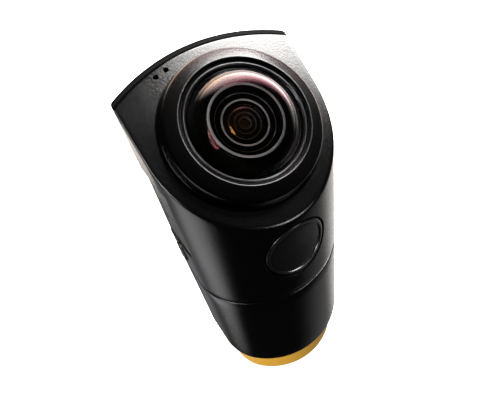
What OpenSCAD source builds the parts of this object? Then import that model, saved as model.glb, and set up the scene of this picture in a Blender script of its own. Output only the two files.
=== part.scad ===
// Pocket camera with one wide dome lens on the slanted top of a torch-shaped body.
// Frame: +Z up, -Y to the front, origin at the mouth of the tripod socket under the base.

/* [Body] */
// Width of the body at the seam
body_w = 36.8; // [35:0.2:39]
// Distance from the socket axis to the front, at the seam
body_front = 14.4; // [13.5:0.1:16]
// Distance from the socket axis to the back, at the seam
body_back = 13.8; // [13.2:0.1:15]
// Radius of the flat arc across the front
front_arc_r = 20.2; // [19.5:0.1:22]
// Radius of the two side arcs
side_arc_r = 14; // [13:0.1:15]
// Radius of the arc across the back
back_arc_r = 52; // [46:1:70]
// Radius that blunts the two back corners
corner_r = 0.9; // [0.3:0.1:2]
// Draft of all walls, in degrees: the body grows towards the top
wall_draft = 1.24; // [0.6:0.02:1.6]
// Wall of the housing
wall = 2; // [1.6:0.1:2.2]

/* [Heights] */
// Height of the base under the sleeve
base_h = 7.2; // [7:0.1:9]
// Height of the seam between the sleeve and the upper housing
seam_z = 38.2; // [37:0.1:40]
// Height over the seam at which the lens axis crosses the slanted face
face_z = 35.6; // [34.8:0.1:38.8]
// Tilt of the face and lens axis from level, in degrees
face_tilt = 41.2; // [39:0.1:43]

/* [Housing] */
// Width of the dark line at the seam
seam_gap = 0.4; // [0.2:0.05:0.6]
// Chamfer on the lower lip of the upper housing
lip_cut = 0.3; // [0.2:0.05:0.4]
// Round under the sleeve
sleeve_round = 3.2; // [2:0.1:3.6]
// Thickness of the sleeve's floor
sleeve_floor = 2; // [1.6:0.1:2.4]
// Set-back of the base from the sleeve
base_inset = 1.7; // [1.2:0.1:2.2]
// Round under the base
base_round = 1; // [0.5:0.1:1.4]
// Thickness of the back cover
cover_t = 1; // [0.8:0.1:1.2]
// Gap at the parting line of the back cover
parting_gap = 0.1; // [0.05:0.05:0.2]
// Clearance between pieces that slide together
slip = 0.15; // [0.1:0.05:0.2]

/* [Lens] */
// Radius of the foot of the bezel on the face
bezel_foot_r = 16.4; // [15.8:0.1:16.8]
// Radius of the bezel's outer rim
bezel_rim_r = 15.25; // [14.9:0.05:15.4]
// Height of the bezel's outer rim over the face
bezel_rim_h = 3.3; // [2.8:0.1:3.8]
// Radius of the bezel's inner rim
bezel_lip_r = 12.35; // [12.2:0.05:12.8]
// Height of the bezel's inner rim over the face
bezel_lip_h = 4.6; // [4.3:0.1:5]
// Bore of the bezel, which takes the lens
bezel_bore_r = 11.75; // [11.7:0.05:11.9]
// Radius of the bezel's spigot in the face
spigot_r = 13.3; // [13:0.1:13.6]
// Depth of the spigot under the face
spigot_depth = 3.4; // [2.8:0.1:3.6]
// Radius of the front glass at its edge
dome_r = 10.8; // [10.4:0.05:10.9]
// Sphere radius of the dome
dome_sphere_r = 12.8; // [12.2:0.1:14]
// Sphere radius of the hollow behind the dome
hollow_sphere_r = 8.2; // [7.8:0.1:8.6]
// Radius of the second glass
second_r = 6.9; // [6.6:0.05:7]
// Radius of the stop's opening
stop_r = 1.2; // [0.8:0.1:1.6]

/* [Shutter button] */
// Height of the button's centre over the seam
button_z = 13.2; // [12.3:0.1:13.6]
// Radius of the button
button_r = 7.2; // [6.2:0.1:7.3]
// Width of the button's rim
button_rim = 0.9; // [0.6:0.1:1.2]
// Depth of the dish inside the rim
button_dish = 0.35; // [0.2:0.05:0.5]
// Travel of the button
button_travel = 0.5; // [0.3:0.05:0.5]
// Gap round the button
button_gap = 0.3; // [0.25:0.05:0.35]

/* [Port flap] */
// Height of the recess for the flap over the seam
recess_z = 12.2; // [11.8:0.1:12.8]
// Length of the recess
recess_h = 18.6; // [18.2:0.1:19.2]
// Depth of the recess in the side wall
recess_depth = 0.45; // [0.3:0.05:0.7]
// Width of the flap from its hinge
flap_w = 7.6; // [7.3:0.1:7.7]
// Thickness of the flap
flap_t = 1; // [0.9:0.05:1.2]
// Radius of the hinge barrel
barrel_r = 0.9; // [0.85:0.05:0.95]
// Radius of the hinge pin
pin_r = 0.45; // [0.35:0.05:0.5]
// Running clearance of the flap on its pin
pin_play = 0.05; // [0.03:0.01:0.08]
// Distance of the hinge behind the socket axis
hinge_y = 0.7; // [0.5:0.1:0.9]

/* [Side key] */
// Height of the key's centre over the seam
key_z = 7.7; // [7.4:0.1:7.9]
// Length of the key
key_l = 6.2; // [5.5:0.1:6.2]
// Width of the key
key_w = 3.4; // [3:0.1:3.6]
// Height of the key over the wall
key_proud = 0.35; // [0.2:0.05:0.8]
// Travel of the key
key_travel = 0.4; // [0.2:0.05:0.4]
// Gap round the key
key_gap = 0.3; // [0.2:0.05:0.35]
// Distance of the key's centre behind the socket axis
key_y = 6.85; // [6.8:0.05:6.9]

/* [Tripod socket] */
// Radius of the socket's bore (quarter inch thread)
socket_r = 3.175; // [3.1:0.005:3.25]
// Depth of the socket's bore
socket_depth = 5.6; // [5:0.1:5.8]
// Outer radius of the metal insert
insert_r = 5; // [4.5:0.1:5.4]

/* [Inside] */
// Thickness of the chassis plate
plate_t = 1.2; // [1:0.1:1.4]
// Distance of the circuit board behind the chassis plate
board_gap = 3.9; // [3.8:0.1:4]
// Thickness of the circuit boards
board_t = 0.8; // [0.6:0.1:1]
// Width of the battery
battery_w = 18; // [16:0.2:18]
// Thickness of the battery
battery_t = 7.5; // [6.5:0.1:7.6]
// Length of the battery
battery_l = 31; // [28:0.5:31]

/* [Hidden] */
$fn = 96;

// Plan of the body: a flat front arc, two side arcs, two straight sides and a back arc
far = 60;
// The side arcs stand out by this much, so that the walls cross and don't only touch
blend = 0.04;
front_cy = front_arc_r - body_front;
side_cx = body_w/2 - side_arc_r;
side_cy = front_cy - sqrt((front_arc_r - side_arc_r)^2 - side_cx^2);
fan_angle = atan2(side_cx, front_cy - side_cy);
back_cy = body_back - back_arc_r;
face_level = seam_z + face_z;
button_level = seam_z + button_z;
recess_level = seam_z + recess_z;
key_level = seam_z + key_z;
top_z = face_level + (body_back + 3)*tan(face_tilt);

// The back corners are blunted about the socket axis, as deep as a round of their radius would go
corner_x = body_w/2;
corner_y = back_cy + sqrt(back_arc_r^2 - corner_x^2);
half_corner = 45 + asin(corner_x/back_arc_r)/2;
corner_rate = 1/sin(half_corner);
blunt_r = sqrt(corner_x^2 + corner_y^2) - corner_r*(corner_rate - 1);

face_wall = wall;
black = [0.09, 0.09, 0.1];
gold = [0.92, 0.68, 0.2];
steel = [0.75, 0.76, 0.78];
glass = [0.35, 0.4, 0.45, 0.5];
green = [0.08, 0.32, 0.2];

// Lens: heights along its axis from the face, outwards positive
lens_opening_r = spigot_r + parting_gap;
bezel_foot_round = 1;
bezel_flare = 0.15;
cove_r = 1.45;
cove_out = 0.62;
cove_h = 1.4;
bezel_bevel = 0.5;
ledge_h = -1;
glass_back_h = 2;
glass_edge_h = 3.6;
ring_play = 0.1;
ring_lip_r = dome_r - 0.3;
ring_top_h = 4.6;
ring_foot_h = 2.9;
ring_lip_h = 4.1;
hollow_r = 7.4;
barrel_flange_r = bezel_bore_r - ring_play;
barrel_body_r = 9.4;
barrel_tail_r = 4.9;
barrel_shoulder = -7;
barrel_end = -9.6;
second_seat = -0.6;
third_seat = -3.2;
stop_seat = -3.9;
stop_t = 0.3;
rear_seat = -7.2;
third_r = 4.1;
rear_r = 3.5;
glass_play = 0.05;
holder_w = 13.5;
holder_l = 10.5;
holder_top = -7.4;
sensor_board_top = -11.6;
filter_h = -10.2;
pocket_top = -9.7;
sensor_w = 8.8;
sensor_l = 6.8;
sensor_t = 0.9;
sensor_room = 0.3;
filter_t = 0.4;

// Side wall pieces
pocket_trim = 0.1;
flap_play = 0.3;
swing_room = 0.5;
recess_front = 2.2;
flap_z = recess_level + pocket_trim + flap_play;
flap_h = recess_h - 2*(pocket_trim + flap_play);
hinge_x = -recess_depth - barrel_r;
pocket_floor = -recess_depth - flap_t - flap_play;
bay_depth = 4.4;
bay_margin = 0.4;
window_y = hinge_y + 1.1;
window_w = flap_w - 1.9;
hook_z = seam_z + 33;
hook_l = 4;
hook_t = 1.2;
hook_y = 6.6;
hook_play = 0.3;
window_z = recess_level + 0.6;
window_h = recess_h - 1.6;
window_floor = -3.4;
flap_mid = recess_level + recess_h/2;
seal_lip = 0.8;
seal_depth = 1.1;
pin_over = 1;

// Inside
floor_z = base_h + sleeve_floor;
insert_h = base_h - 0.6;
ring_z0 = seam_z - 5.2;
ring_z1 = seam_z + 3;
ring_t = 1.4;
seal_z = seam_z - 3.2;
seal_h = 1.1;
seal_t = 0.75;
seal_play = 0.05;
groove_play = 0.15;
chassis_inset = wall + seal_play + seal_t + groove_play;
plate_top = seam_z + 9.8;
shelf_z = floor_z + 1.8;
board_y = plate_t + board_gap;
board_back = board_y + board_t;
press_gap = 0.37;
plunger_l = 0.8;
switch_w = 2.4;
switch_h = 4.4;
stem_l = 1.9;
switch_face = body_w/2 + grow(key_level, 0) - wall - stem_l - key_travel - press_gap - plunger_l;
board_half = switch_face;
board_z0 = floor_z + 2.3;
board_over = 14.4;
board_z1 = recess_level + board_over;
notch_over = 10.6;
notch_half = 8;
post_inset = 2.5;
notch_z = recess_level + notch_over;
post_x = board_half - post_inset;
post_z = [floor_z + 5, seam_z + 1.8];
post_r = 1.6;
base_screw_x = 11.6;
base_screw_y = -1;
screw_boss_r = 2.3;
boss_top = floor_z + 5;
usb_t = 3.1;
usb_l = 9;
usb_z = recess_level + 3.6;
port_inset = 2.9;
port_front = body_w/2 - port_inset;
port_reach = 3;
usb_depth = 7.2;
usb_shell = 0.3;
usb_back = 0.8;
usb_tongue = 0.7;
tongue_margin = 1.2;
tongue_back = 0.6;
card_t = 1.4;
card_z = recess_level + 0.7;
card_l = 10.6;
card_depth = 14;
card_wall = 0.3;
card_back = 1;
can_w = 16;
can_h = 20;
can_t = 1.8;
can_rise = 0.8;
spreader_t = 0.8;
spreader_over = 0.5;
antenna_w = 16;
antenna_rise = 8;
antenna_h = 12;
antenna_t = 0.3;
antenna_play = 0.05;
plunger_r = 0.7;
stem_r = 0.9;
screw_l = 2.2;
gasket_in = 0.9;
gasket_out = 1.3;
gasket_t = 0.5;
gasket_play = 0.06;
button_board_y = -6.6;
button_board_w = 25;
button_board_h = 10;
button_boss_r = 1.5;
button_boss_x = button_r + gasket_out + button_boss_r + 0.9;
mic_x = -8.27;
mic_y = 12.23;
mic_skew = 10.2;
mic_pitch = 2.5;
mic_hole_r = 0.4;
boot_z = face_level + 6.1;
boot_l = 4.4;
boot_front = 1.1;
boot_back = 0.5;

// Screws: the two under the base, and the small ones on the boards
base_shank_r = 1.1;
base_head_r = 2;
base_head_z = 0.8;
base_head_h = 1.4;
base_sink_r = 2.2;
base_hole_r = 1.35;
shank_r = 0.55;
head_r = 1.3;
head_h = 0.8;
hole_r = 0.8;

// Bevels that stand for a round on a lower edge
steep_bevel = 25;
flat_bevel = 62;
steep_share = 0.33;
flat_share = 0.75;

// Outward growth of every wall at a height, less an inset
function grow(z, inset) = (z - seam_z)*tan(wall_draft) - inset;

// Round front and straight sides between two heights, open towards the back
module front_and_sides(z0, grow0, z1, grow1) {
    h = z1 - z0;
    translate([0, 0, z0]) {
        intersection() {
            translate([0, front_cy, 0]) cylinder(h = h, r1 = front_arc_r + grow0, r2 = front_arc_r + grow1);
            translate([0, front_cy, 0]) linear_extrude(h)
                polygon([[0, 0], [-far*sin(fan_angle), -far*cos(fan_angle)],
                         [far*sin(fan_angle), -far*cos(fan_angle)]]);
        }
        for (side = [-1, 1]) translate([side*side_cx, side_cy, 0])
            cylinder(h = h, r1 = side_arc_r + blend + grow0, r2 = side_arc_r + blend + grow1);
        translate([0, side_cy + far, 0]) rotate([90, 0, 0]) linear_extrude(far)
            polygon([[-body_w/2 - grow0, 0], [body_w/2 + grow0, 0],
                     [body_w/2 + grow1, h], [-body_w/2 - grow1, h]]);
    }
}

module inside_back(z0, z1, inset) {
    translate([0, back_cy, z0])
        cylinder(h = z1 - z0, r1 = back_arc_r + grow(z0, inset), r2 = back_arc_r + grow(z1, inset));
}

// A body whose walls stand out by one amount at the foot and another at the top
module lofted_body(z0, grow0, z1, grow1) {
    h = z1 - z0;
    intersection() {
        union() front_and_sides(z0, grow0, z1, grow1);
        translate([0, back_cy, z0]) cylinder(h = h, r1 = back_arc_r + grow0, r2 = back_arc_r + grow1);
        translate([0, 0, z0])
            cylinder(h = h, r1 = blunt_r + grow0*corner_rate, r2 = blunt_r + grow1*corner_rate);
    }
}

// The drafted body between two heights, set in by an inset
module body(z0, z1, inset = 0) {
    lofted_body(z0, grow(z0, inset), z1, grow(z1, inset));
}

// A body whose walls lean out by an angle from a foot that is cut back, to bevel a lower edge
module bevel_body(z0, z1, inset, cut, angle) {
    foot = grow(z0, inset) - cut;
    lofted_body(z0, foot, z1, foot + (z1 - z0)*tan(angle));
}

// Lens frame: its origin is on the face, its z axis is the lens axis
module on_lens_axis() {
    translate([0, 0, face_level]) rotate([face_tilt, 0, 0]) children();
}

module below_face(drop = 0) {
    on_lens_axis() translate([-far, -far, -2*far - drop]) cube(2*far);
}

// Left wall frame at a height: x leaves the wall, y runs to the back, z is up
module on_left_wall(z) {
    mirror([1, 0, 0]) translate([body_w/2 + grow(z, 0), 0, 0]) children();
}

module along_y(y0, y1) {
    translate([0, y1, 0]) rotate([90, 0, 0]) linear_extrude(y1 - y0) children();
}

module box(low, high) {
    translate(low) cube(high - low);
}

module rounded_rect(w, h, r) {
    square([w - 2*r, h], center = true);
    square([w, h - 2*r], center = true);
    for (x = [-1, 1], y = [-1, 1]) translate([x*(w/2 - r), y*(h/2 - r)]) circle(r);
}

module stadium(w, l) {
    for (y = [-1, 1]) translate([0, y*(l - w)/2]) circle(w/2);
    square([w, l - w], center = true);
}

// Area under a sphere of radius r that passes through (edge_r, edge_h), in radius and height
module cap_area(r, edge_r, edge_h, low) {
    centre = edge_h - sqrt(r^2 - edge_r^2);
    intersection() {
        translate([0, centre]) circle(r);
        translate([0, low]) square([edge_r, r + centre - low + 1]);
    }
}

// Recess that runs over the left back corner, so that a nail can lift the flap
module flap_recess() {
    on_left_wall(flap_mid)
        box([-recess_depth, hinge_y - recess_front, recess_level], [far, far, recess_level + recess_h]);
}

module flap_pocket() {
    on_left_wall(flap_mid) {
        box([pocket_floor, hinge_y, recess_level + pocket_trim],
            [0, hinge_y + flap_w + flap_play, recess_level + recess_h - pocket_trim]);
        translate([hinge_x, hinge_y, recess_level + pocket_trim])
            cylinder(h = recess_h - 2*pocket_trim, r = barrel_r + flap_play);
        box([hinge_x, hinge_y - barrel_r - swing_room, recess_level + pocket_trim],
            [0, hinge_y, recess_level + recess_h - pocket_trim]);
        box([window_floor, window_y, window_z], [0, window_y + window_w, window_z + window_h]);
        translate([hinge_x, hinge_y, flap_z - pin_over])
            cylinder(h = flap_h + 2*pin_over, r = pin_r);
    }
}

module port_cuts() {
    box([-far/2, board_y - usb_t - slip, usb_z - slip],
        [-port_front + port_reach, board_y + slip, usb_z + usb_l + slip]);
    box([-far/2, board_back - slip, card_z - slip],
        [-port_front + port_reach, board_back + card_t + slip, card_z + card_l + slip]);
}

module port_bay() {
    on_left_wall(flap_mid)
        box([-bay_depth, hinge_y - 1.8, recess_level - bay_margin],
            [-wall/2, hinge_y + flap_w + 0.3, recess_level + recess_h + bay_margin]);
}

module key_outline(extra) {
    translate([0, key_y, key_level]) rotate([90, 0, 90]) linear_extrude(far, center = true)
        stadium(key_w + 2*extra, key_l + 2*extra);
}

module button_bosses() {
    intersection() {
        body(seam_z, face_level, wall/2);
        for (x = [-1, 1]) translate([x*button_boss_x, 0, button_level])
            along_y(-far/2, button_board_y) circle(button_boss_r);
    }
}

// The two microphone holes are drilled straight down through the roof
module at_mics() {
    translate([mic_x, mic_y, 0]) rotate([0, 0, mic_skew]) children();
}

module mic_holes() {
    at_mics() for (side = [-1, 1]) translate([side*mic_pitch/2, 0, boot_z - 1])
        cylinder(h = far/2, r = mic_hole_r);
}

// Upper housing outline, with a chamfered lip at the seam
module upper_body() {
    intersection() {
        body(seam_z, top_z);
        bevel_body(seam_z, top_z, 0, lip_cut, steep_bevel);
    }
}

module front_shell() {
    color(black) difference() {
        union() {
            difference() {
                intersection() {
                    upper_body();
                    below_face();
                    inside_back(seam_z, top_z, cover_t + parting_gap);
                }
                intersection() {
                    front_and_sides(seam_z - 1, grow(seam_z - 1, wall), top_z + 1, grow(top_z + 1, wall));
                    below_face(face_wall);
                }
            }
            intersection() {
                port_bay();
                body(seam_z, top_z, wall/2);
                inside_back(seam_z, top_z, cover_t + parting_gap);
            }
            button_bosses();
        }
        on_lens_axis() cylinder(h = 2*face_wall + 1, r = lens_opening_r, center = true);
        translate([0, 0, button_level]) along_y(-far/2, -body_front + 2*wall) circle(button_r + button_gap);
        for (x = [-1, 1]) translate([x*button_boss_x, 0, button_level])
            along_y(button_board_y - screw_l, button_board_y + 1) circle(shank_r);
        mic_holes();
        flap_recess();
        flap_pocket();
        port_cuts();
        intersection() {
            on_left_wall(key_level) key_outline(key_gap);
            box([-far, -far, seam_z], [-side_cx - wall, far, face_level]);
        }
    }
}

module back_cover() {
    color(black) difference() {
        union() {
            difference() {
                intersection() {
                    upper_body();
                    below_face();
                }
                inside_back(seam_z - 1, top_z + 1, cover_t);
            }
            intersection() {
                body(seam_z, top_z, cover_t/2);
                for (side = [0, 1]) mirror([side, 0, 0])
                    translate([body_w/2 + grow(hook_z, wall + hook_play) - hook_t, hook_y, hook_z])
                    cube([hook_t, far, hook_l]);
            }
        }
        flap_recess();
    }
}

module lower_sleeve() {
    color(black) difference() {
        intersection() {
            body(base_h, seam_z - seam_gap);
            bevel_body(base_h, seam_z - seam_gap, 0, steep_share*sleeve_round, steep_bevel);
            bevel_body(base_h, seam_z - seam_gap, 0, flat_share*sleeve_round, flat_bevel);
        }
        body(floor_z, seam_z + 1, wall);
        for (x = [-1, 1]) translate([x*base_screw_x, base_screw_y, 0]) cylinder(h = far, r = base_hole_r);
    }
}

module base_cap() {
    color(gold) difference() {
        intersection() {
            body(0, base_h, base_inset);
            bevel_body(0, base_h, base_inset, steep_share*base_round, steep_bevel);
            bevel_body(0, base_h, base_inset, flat_share*base_round, flat_bevel);
        }
        translate([0, 0, -1]) cylinder(h = 1 + insert_h, r = insert_r);
        for (x = [-1, 1]) translate([x*base_screw_x, base_screw_y, -1]) {
            cylinder(h = base_h + 2, r = base_hole_r);
            cylinder(h = 1 + base_head_z + base_head_h, r = base_sink_r);
        }
    }
}

module tripod_insert() {
    color(steel) difference() {
        cylinder(h = insert_h, r = insert_r);
        translate([0, 0, -1]) cylinder(h = 1 + socket_depth, r = socket_r);
    }
}

module base_screws() {
    color(steel) for (x = [-1, 1]) translate([x*base_screw_x, base_screw_y, 0]) {
        translate([0, 0, base_head_z]) cylinder(h = base_head_h, r = base_head_r);
        translate([0, 0, base_head_z + base_head_h])
            cylinder(h = boss_top - base_head_z - base_head_h - 0.5, r = base_shank_r);
    }
}

module at_posts() {
    for (x = [-1, 1], z = post_z) translate([x*post_x, 0, z]) children();
}

module chassis() {
    color("dimgray") difference() {
        union() {
            difference() {
                body(ring_z0, ring_z1, wall + slip);
                body(ring_z0 - 1, ring_z1 + 1, wall + slip + ring_t);
                difference() {
                    body(seal_z - groove_play, seal_z + seal_h + groove_play, 0);
                    body(seal_z - 1, seal_z + seal_h + 1, wall + seal_play + seal_t + groove_play);
                }
            }
            intersection() {
                body(floor_z, plate_top, chassis_inset);
                box([-far, 0, floor_z], [far, plate_t, plate_top]);
            }
            intersection() {
                body(floor_z, shelf_z, chassis_inset);
                box([-far, -far, floor_z], [far, plate_t, shelf_z]);
            }
            for (x = [-1, 1]) translate([x*base_screw_x, base_screw_y, floor_z])
                cylinder(h = boss_top - floor_z, r = screw_boss_r);
            at_posts() along_y(plate_t/2, board_y) circle(post_r);
        }
        for (x = [-1, 1]) translate([x*base_screw_x, base_screw_y, 0]) cylinder(h = far, r = base_shank_r);
        at_posts() along_y(board_y - screw_l, board_y + 1) circle(shank_r);
    }
}

module seam_seal() {
    color([0.25, 0.25, 0.27]) difference() {
        body(seal_z, seal_z + seal_h, wall + seal_play);
        body(seal_z - 1, seal_z + seal_h + 1, wall + seal_play + seal_t);
    }
}

module battery() {
    color("slategray") translate([0, -battery_t/2, shelf_z]) linear_extrude(battery_l)
        rounded_rect(battery_w, battery_t, 2);
}

module main_board() {
    color(green) difference() {
        box([-board_half, board_y, board_z0], [board_half, board_back, board_z1]);
        box([-notch_half, board_y - 1, notch_z], [notch_half, board_back + 1, board_z1 + 1]);
        at_posts() along_y(board_y - 1, board_back + 1) circle(hole_r);
    }
}

module board_screws() {
    color(steel) at_posts() {
        along_y(board_back, board_back + head_h) circle(head_r);
        along_y(board_y - screw_l, board_back) circle(shank_r);
    }
}

module shield_can() {
    color(steel) translate([0, 0, seam_z + can_rise]) along_y(board_back, board_back + can_t)
        rounded_rect(can_w, can_h, 0.8);
}

module heat_spreader() {
    color("lightgray") translate([0, 0, seam_z + can_rise])
        along_y(board_back + can_t, board_back + can_t + spreader_t)
        rounded_rect(can_w + 2*spreader_over, can_h + 2*spreader_over, 1);
}

module antenna() {
    color("peru") intersection() {
        difference() {
            body(seam_z + antenna_rise, seam_z + antenna_rise + antenna_h, cover_t + antenna_play);
            body(seam_z, face_level, cover_t + antenna_play + antenna_t);
        }
        box([-antenna_w/2, board_back, seam_z], [antenna_w/2, far, face_level]);
    }
}

module usb_port() {
    tongue_y = board_y - usb_t/2;
    color(steel) difference() {
        box([-port_front, board_y - usb_t, usb_z], [-port_front + usb_depth, board_y, usb_z + usb_l]);
        difference() {
            box([-far, board_y - usb_t + usb_shell, usb_z + usb_shell],
                [-port_front + usb_depth - usb_back, board_y - usb_shell, usb_z + usb_l - usb_shell]);
            box([-port_front + tongue_back, tongue_y - usb_tongue/2, usb_z + tongue_margin],
                [-port_front + usb_depth, tongue_y + usb_tongue/2, usb_z + usb_l - tongue_margin]);
        }
    }
}

module card_slot() {
    color(steel) difference() {
        box([-port_front, board_back, card_z],
            [-port_front + card_depth, board_back + card_t, card_z + card_l]);
        box([-far, board_back + card_wall, card_z + card_wall],
            [-port_front + card_depth - card_back, board_back + card_t - card_wall,
             card_z + card_l - card_wall]);
    }
}

module side_switch() {
    color("gainsboro") {
        box([-switch_face, board_back, key_level - switch_h/2],
            [-switch_face + switch_w, 2*key_y - board_back, key_level + switch_h/2]);
        translate([-switch_face - plunger_l, key_y, key_level]) rotate([0, 90, 0])
            cylinder(h = plunger_l + 0.5, r = plunger_r);
    }
}

module power_key() {
    flange = 0.7;
    flange_t = 0.6;
    color(black) on_left_wall(key_level) {
        intersection() {
            key_outline(0);
            box([-wall - key_gap - flange_t, 0, 0], [key_proud, far, far]);
        }
        intersection() {
            key_outline(flange);
            box([-wall - key_gap - flange_t, 0, 0], [-wall - key_gap, far, far]);
        }
        translate([-wall - stem_l, key_y, key_level]) rotate([0, 90, 0]) cylinder(h = stem_l, r = stem_r);
    }
}

module port_flap() {
    color(black) on_left_wall(flap_mid) difference() {
        union() {
            box([-recess_depth - flap_t, hinge_y, flap_z],
                [-recess_depth, hinge_y + flap_w, flap_z + flap_h]);
            translate([hinge_x, hinge_y, flap_z]) cylinder(h = flap_h, r = barrel_r);
        }
        translate([hinge_x, hinge_y, flap_z - 1]) cylinder(h = flap_h + 2, r = pin_r + pin_play);
    }
}

module flap_pin() {
    color(steel) on_left_wall(flap_mid) translate([hinge_x, hinge_y, flap_z - pin_over])
        cylinder(h = flap_h + 2*pin_over, r = pin_r);
}

module flap_seal() {
    low_y = window_y + 0.2;
    high_y = window_y + window_w - 0.4;
    low_z = window_z + 0.2;
    high_z = window_z + window_h - 0.2;
    seat = -recess_depth - flap_t;
    color([0.25, 0.25, 0.27]) on_left_wall(flap_mid) difference() {
        box([seat - seal_depth, low_y, low_z], [seat, high_y, high_z]);
        box([seat - 2*seal_depth, low_y + seal_lip, low_z + seal_lip],
            [seat + 1, high_y - seal_lip, high_z - seal_lip]);
    }
}

module shutter_button() {
    flange_y = -9.8;
    color([0.12, 0.12, 0.13]) {
        difference() {
            intersection() {
                body(seam_z, face_level, 0.1);
                translate([0, 0, button_level]) along_y(-far/2, flange_y) circle(button_r);
            }
            difference() {
                translate([0, 0, button_level]) along_y(-far/2, -body_front + 2*wall)
                    circle(button_r - button_rim);
                body(seam_z, face_level, 0.1 + button_dish);
            }
        }
        translate([0, 0, button_level]) {
            along_y(flange_y - 0.7, flange_y) circle(button_r + 0.7);
            along_y(flange_y - 0.1, flange_y + 0.2) circle(1.4);
        }
    }
}

module button_gasket() {
    color([0.25, 0.25, 0.27]) intersection() {
        difference() {
            body(seam_z, face_level, wall + gasket_play);
            body(seam_z - 1, face_level + 1, wall + gasket_play + gasket_t);
        }
        translate([0, 0, button_level]) along_y(-far/2, -4) difference() {
            circle(button_r + gasket_out);
            circle(button_r + gasket_in);
        }
    }
}

module button_board() {
    color(green) difference() {
        translate([0, 0, button_level]) along_y(button_board_y, button_board_y + board_t)
            rounded_rect(button_board_w, button_board_h, 1);
        for (x = [-1, 1]) translate([x*button_boss_x, 0, button_level])
            along_y(button_board_y - 1, button_board_y + 2) circle(hole_r);
    }
}

module button_screws() {
    color(steel) for (x = [-1, 1]) translate([x*button_boss_x, 0, button_level]) {
        along_y(button_board_y + board_t, button_board_y + board_t + head_h) circle(head_r);
        along_y(button_board_y - screw_l, button_board_y + board_t) circle(shank_r);
    }
}

module tact_switch() {
    color("gainsboro") translate([0, 0, button_level]) {
        along_y(button_board_y - 1.6, button_board_y) rounded_rect(6, 6, 0.6);
        along_y(button_board_y - 2.2, button_board_y - 1.5) circle(1.6);
    }
}

module lens_bezel() {
    color(black) on_lens_axis() rotate_extrude() difference() {
        polygon([[bezel_bore_r, ledge_h], [bezel_bore_r, bezel_lip_h - bezel_bevel],
                 [bezel_lip_r, bezel_lip_h], [bezel_rim_r, bezel_rim_h],
                 [bezel_rim_r + bezel_flare, bezel_foot_round], [bezel_foot_r, 0],
                 [spigot_r, 0], [spigot_r, -spigot_depth], [barrel_body_r + ring_play, -spigot_depth],
                 [barrel_body_r + ring_play, ledge_h]]);
        translate([bezel_foot_r + cove_out, cove_h]) circle(cove_r);
    }
}

module retaining_ring() {
    color(steel) on_lens_axis() rotate_extrude()
        polygon([[dome_r + ring_play, ring_foot_h], [barrel_flange_r, ring_foot_h],
                 [barrel_flange_r, ring_top_h - 0.5], [ring_lip_r + 0.3, ring_top_h - 0.2],
                 [ring_lip_r, ring_lip_h], [dome_r + ring_play, ring_lip_h - 0.1]]);
}

module lens_seal() {
    color([0.25, 0.25, 0.27]) on_lens_axis() rotate_extrude()
        translate([(dome_r + barrel_flange_r)/2, glass_back_h + 0.42]) circle(0.38, $fn = 32);
}

module front_element() {
    color(glass) on_lens_axis() rotate_extrude() difference() {
        intersection() {
            cap_area(dome_sphere_r, dome_r, glass_edge_h, glass_back_h);
            translate([0, glass_back_h]) square([dome_r, 20]);
        }
        cap_area(hollow_sphere_r, hollow_r, glass_back_h, glass_back_h - 1);
    }
}

module second_element() {
    back_sphere = 5;
    back_r = 4.2;
    color(glass) on_lens_axis() rotate_extrude() difference() {
        cap_area(9, second_r, second_seat + 1, second_seat);
        cap_area(back_sphere, back_r, second_seat, second_seat - 1);
    }
}

module third_element() {
    color(glass) on_lens_axis() rotate_extrude() cap_area(7, third_r, third_seat + 0.9, third_seat);
}

module aperture_stop() {
    color(black) on_lens_axis() translate([0, 0, stop_seat]) difference() {
        cylinder(h = stop_t, r = third_r);
        translate([0, 0, -1]) cylinder(h = 2, r = stop_r);
    }
}

module rear_element() {
    color(glass) on_lens_axis() rotate_extrude() cap_area(6, rear_r, rear_seat + 1.8, rear_seat);
}

module lens_barrel() {
    third_bore = third_r + glass_play;
    rear_bore = rear_r + glass_play;
    color(black) on_lens_axis() rotate_extrude()
        polygon([[second_r + glass_play, glass_back_h], [barrel_flange_r, glass_back_h],
                 [barrel_flange_r, ledge_h], [barrel_body_r, ledge_h],
                 [barrel_body_r, barrel_shoulder], [barrel_tail_r, barrel_shoulder],
                 [barrel_tail_r, barrel_end], [2.6, barrel_end], [2.6, rear_seat], [rear_bore, rear_seat],
                 [rear_bore, stop_seat - 0.6], [3.2, stop_seat - 0.6], [3.2, stop_seat],
                 [third_bore, stop_seat], [third_bore, stop_seat + stop_t],
                 [3.6, stop_seat + stop_t], [3.6, third_seat],
                 [third_bore, third_seat], [third_bore, second_seat - 0.6], [4.6, second_seat],
                 [second_r + glass_play, second_seat]]);
}

module lens_holder() {
    color(black) on_lens_axis() difference() {
        translate([0, 0, sensor_board_top]) linear_extrude(holder_top - sensor_board_top)
            rounded_rect(holder_w, holder_l, 0.8);
        translate([0, 0, pocket_top]) cylinder(h = far, r = barrel_tail_r + glass_play);
        translate([0, 0, sensor_board_top - 1]) linear_extrude(pocket_top - sensor_board_top + 1.1)
            square([sensor_w + 2*sensor_room, sensor_l + 2*sensor_room], center = true);
    }
}

module ir_filter() {
    color([0.6, 0.85, 0.8, 0.5]) on_lens_axis() translate([0, 0, filter_h]) linear_extrude(filter_t)
        rounded_rect(sensor_w + 2*sensor_room - 2*glass_play, sensor_l + 2*sensor_room - 2*glass_play, 0.3);
}

module image_sensor() {
    color("dimgray") on_lens_axis() translate([0, 0, sensor_board_top])
        linear_extrude(sensor_t) square([sensor_w, sensor_l], center = true);
}

module sensor_board() {
    color(green) on_lens_axis() translate([0, 0, sensor_board_top - board_t]) linear_extrude(board_t)
        rounded_rect(holder_w, holder_l, 0.6);
}

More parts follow.
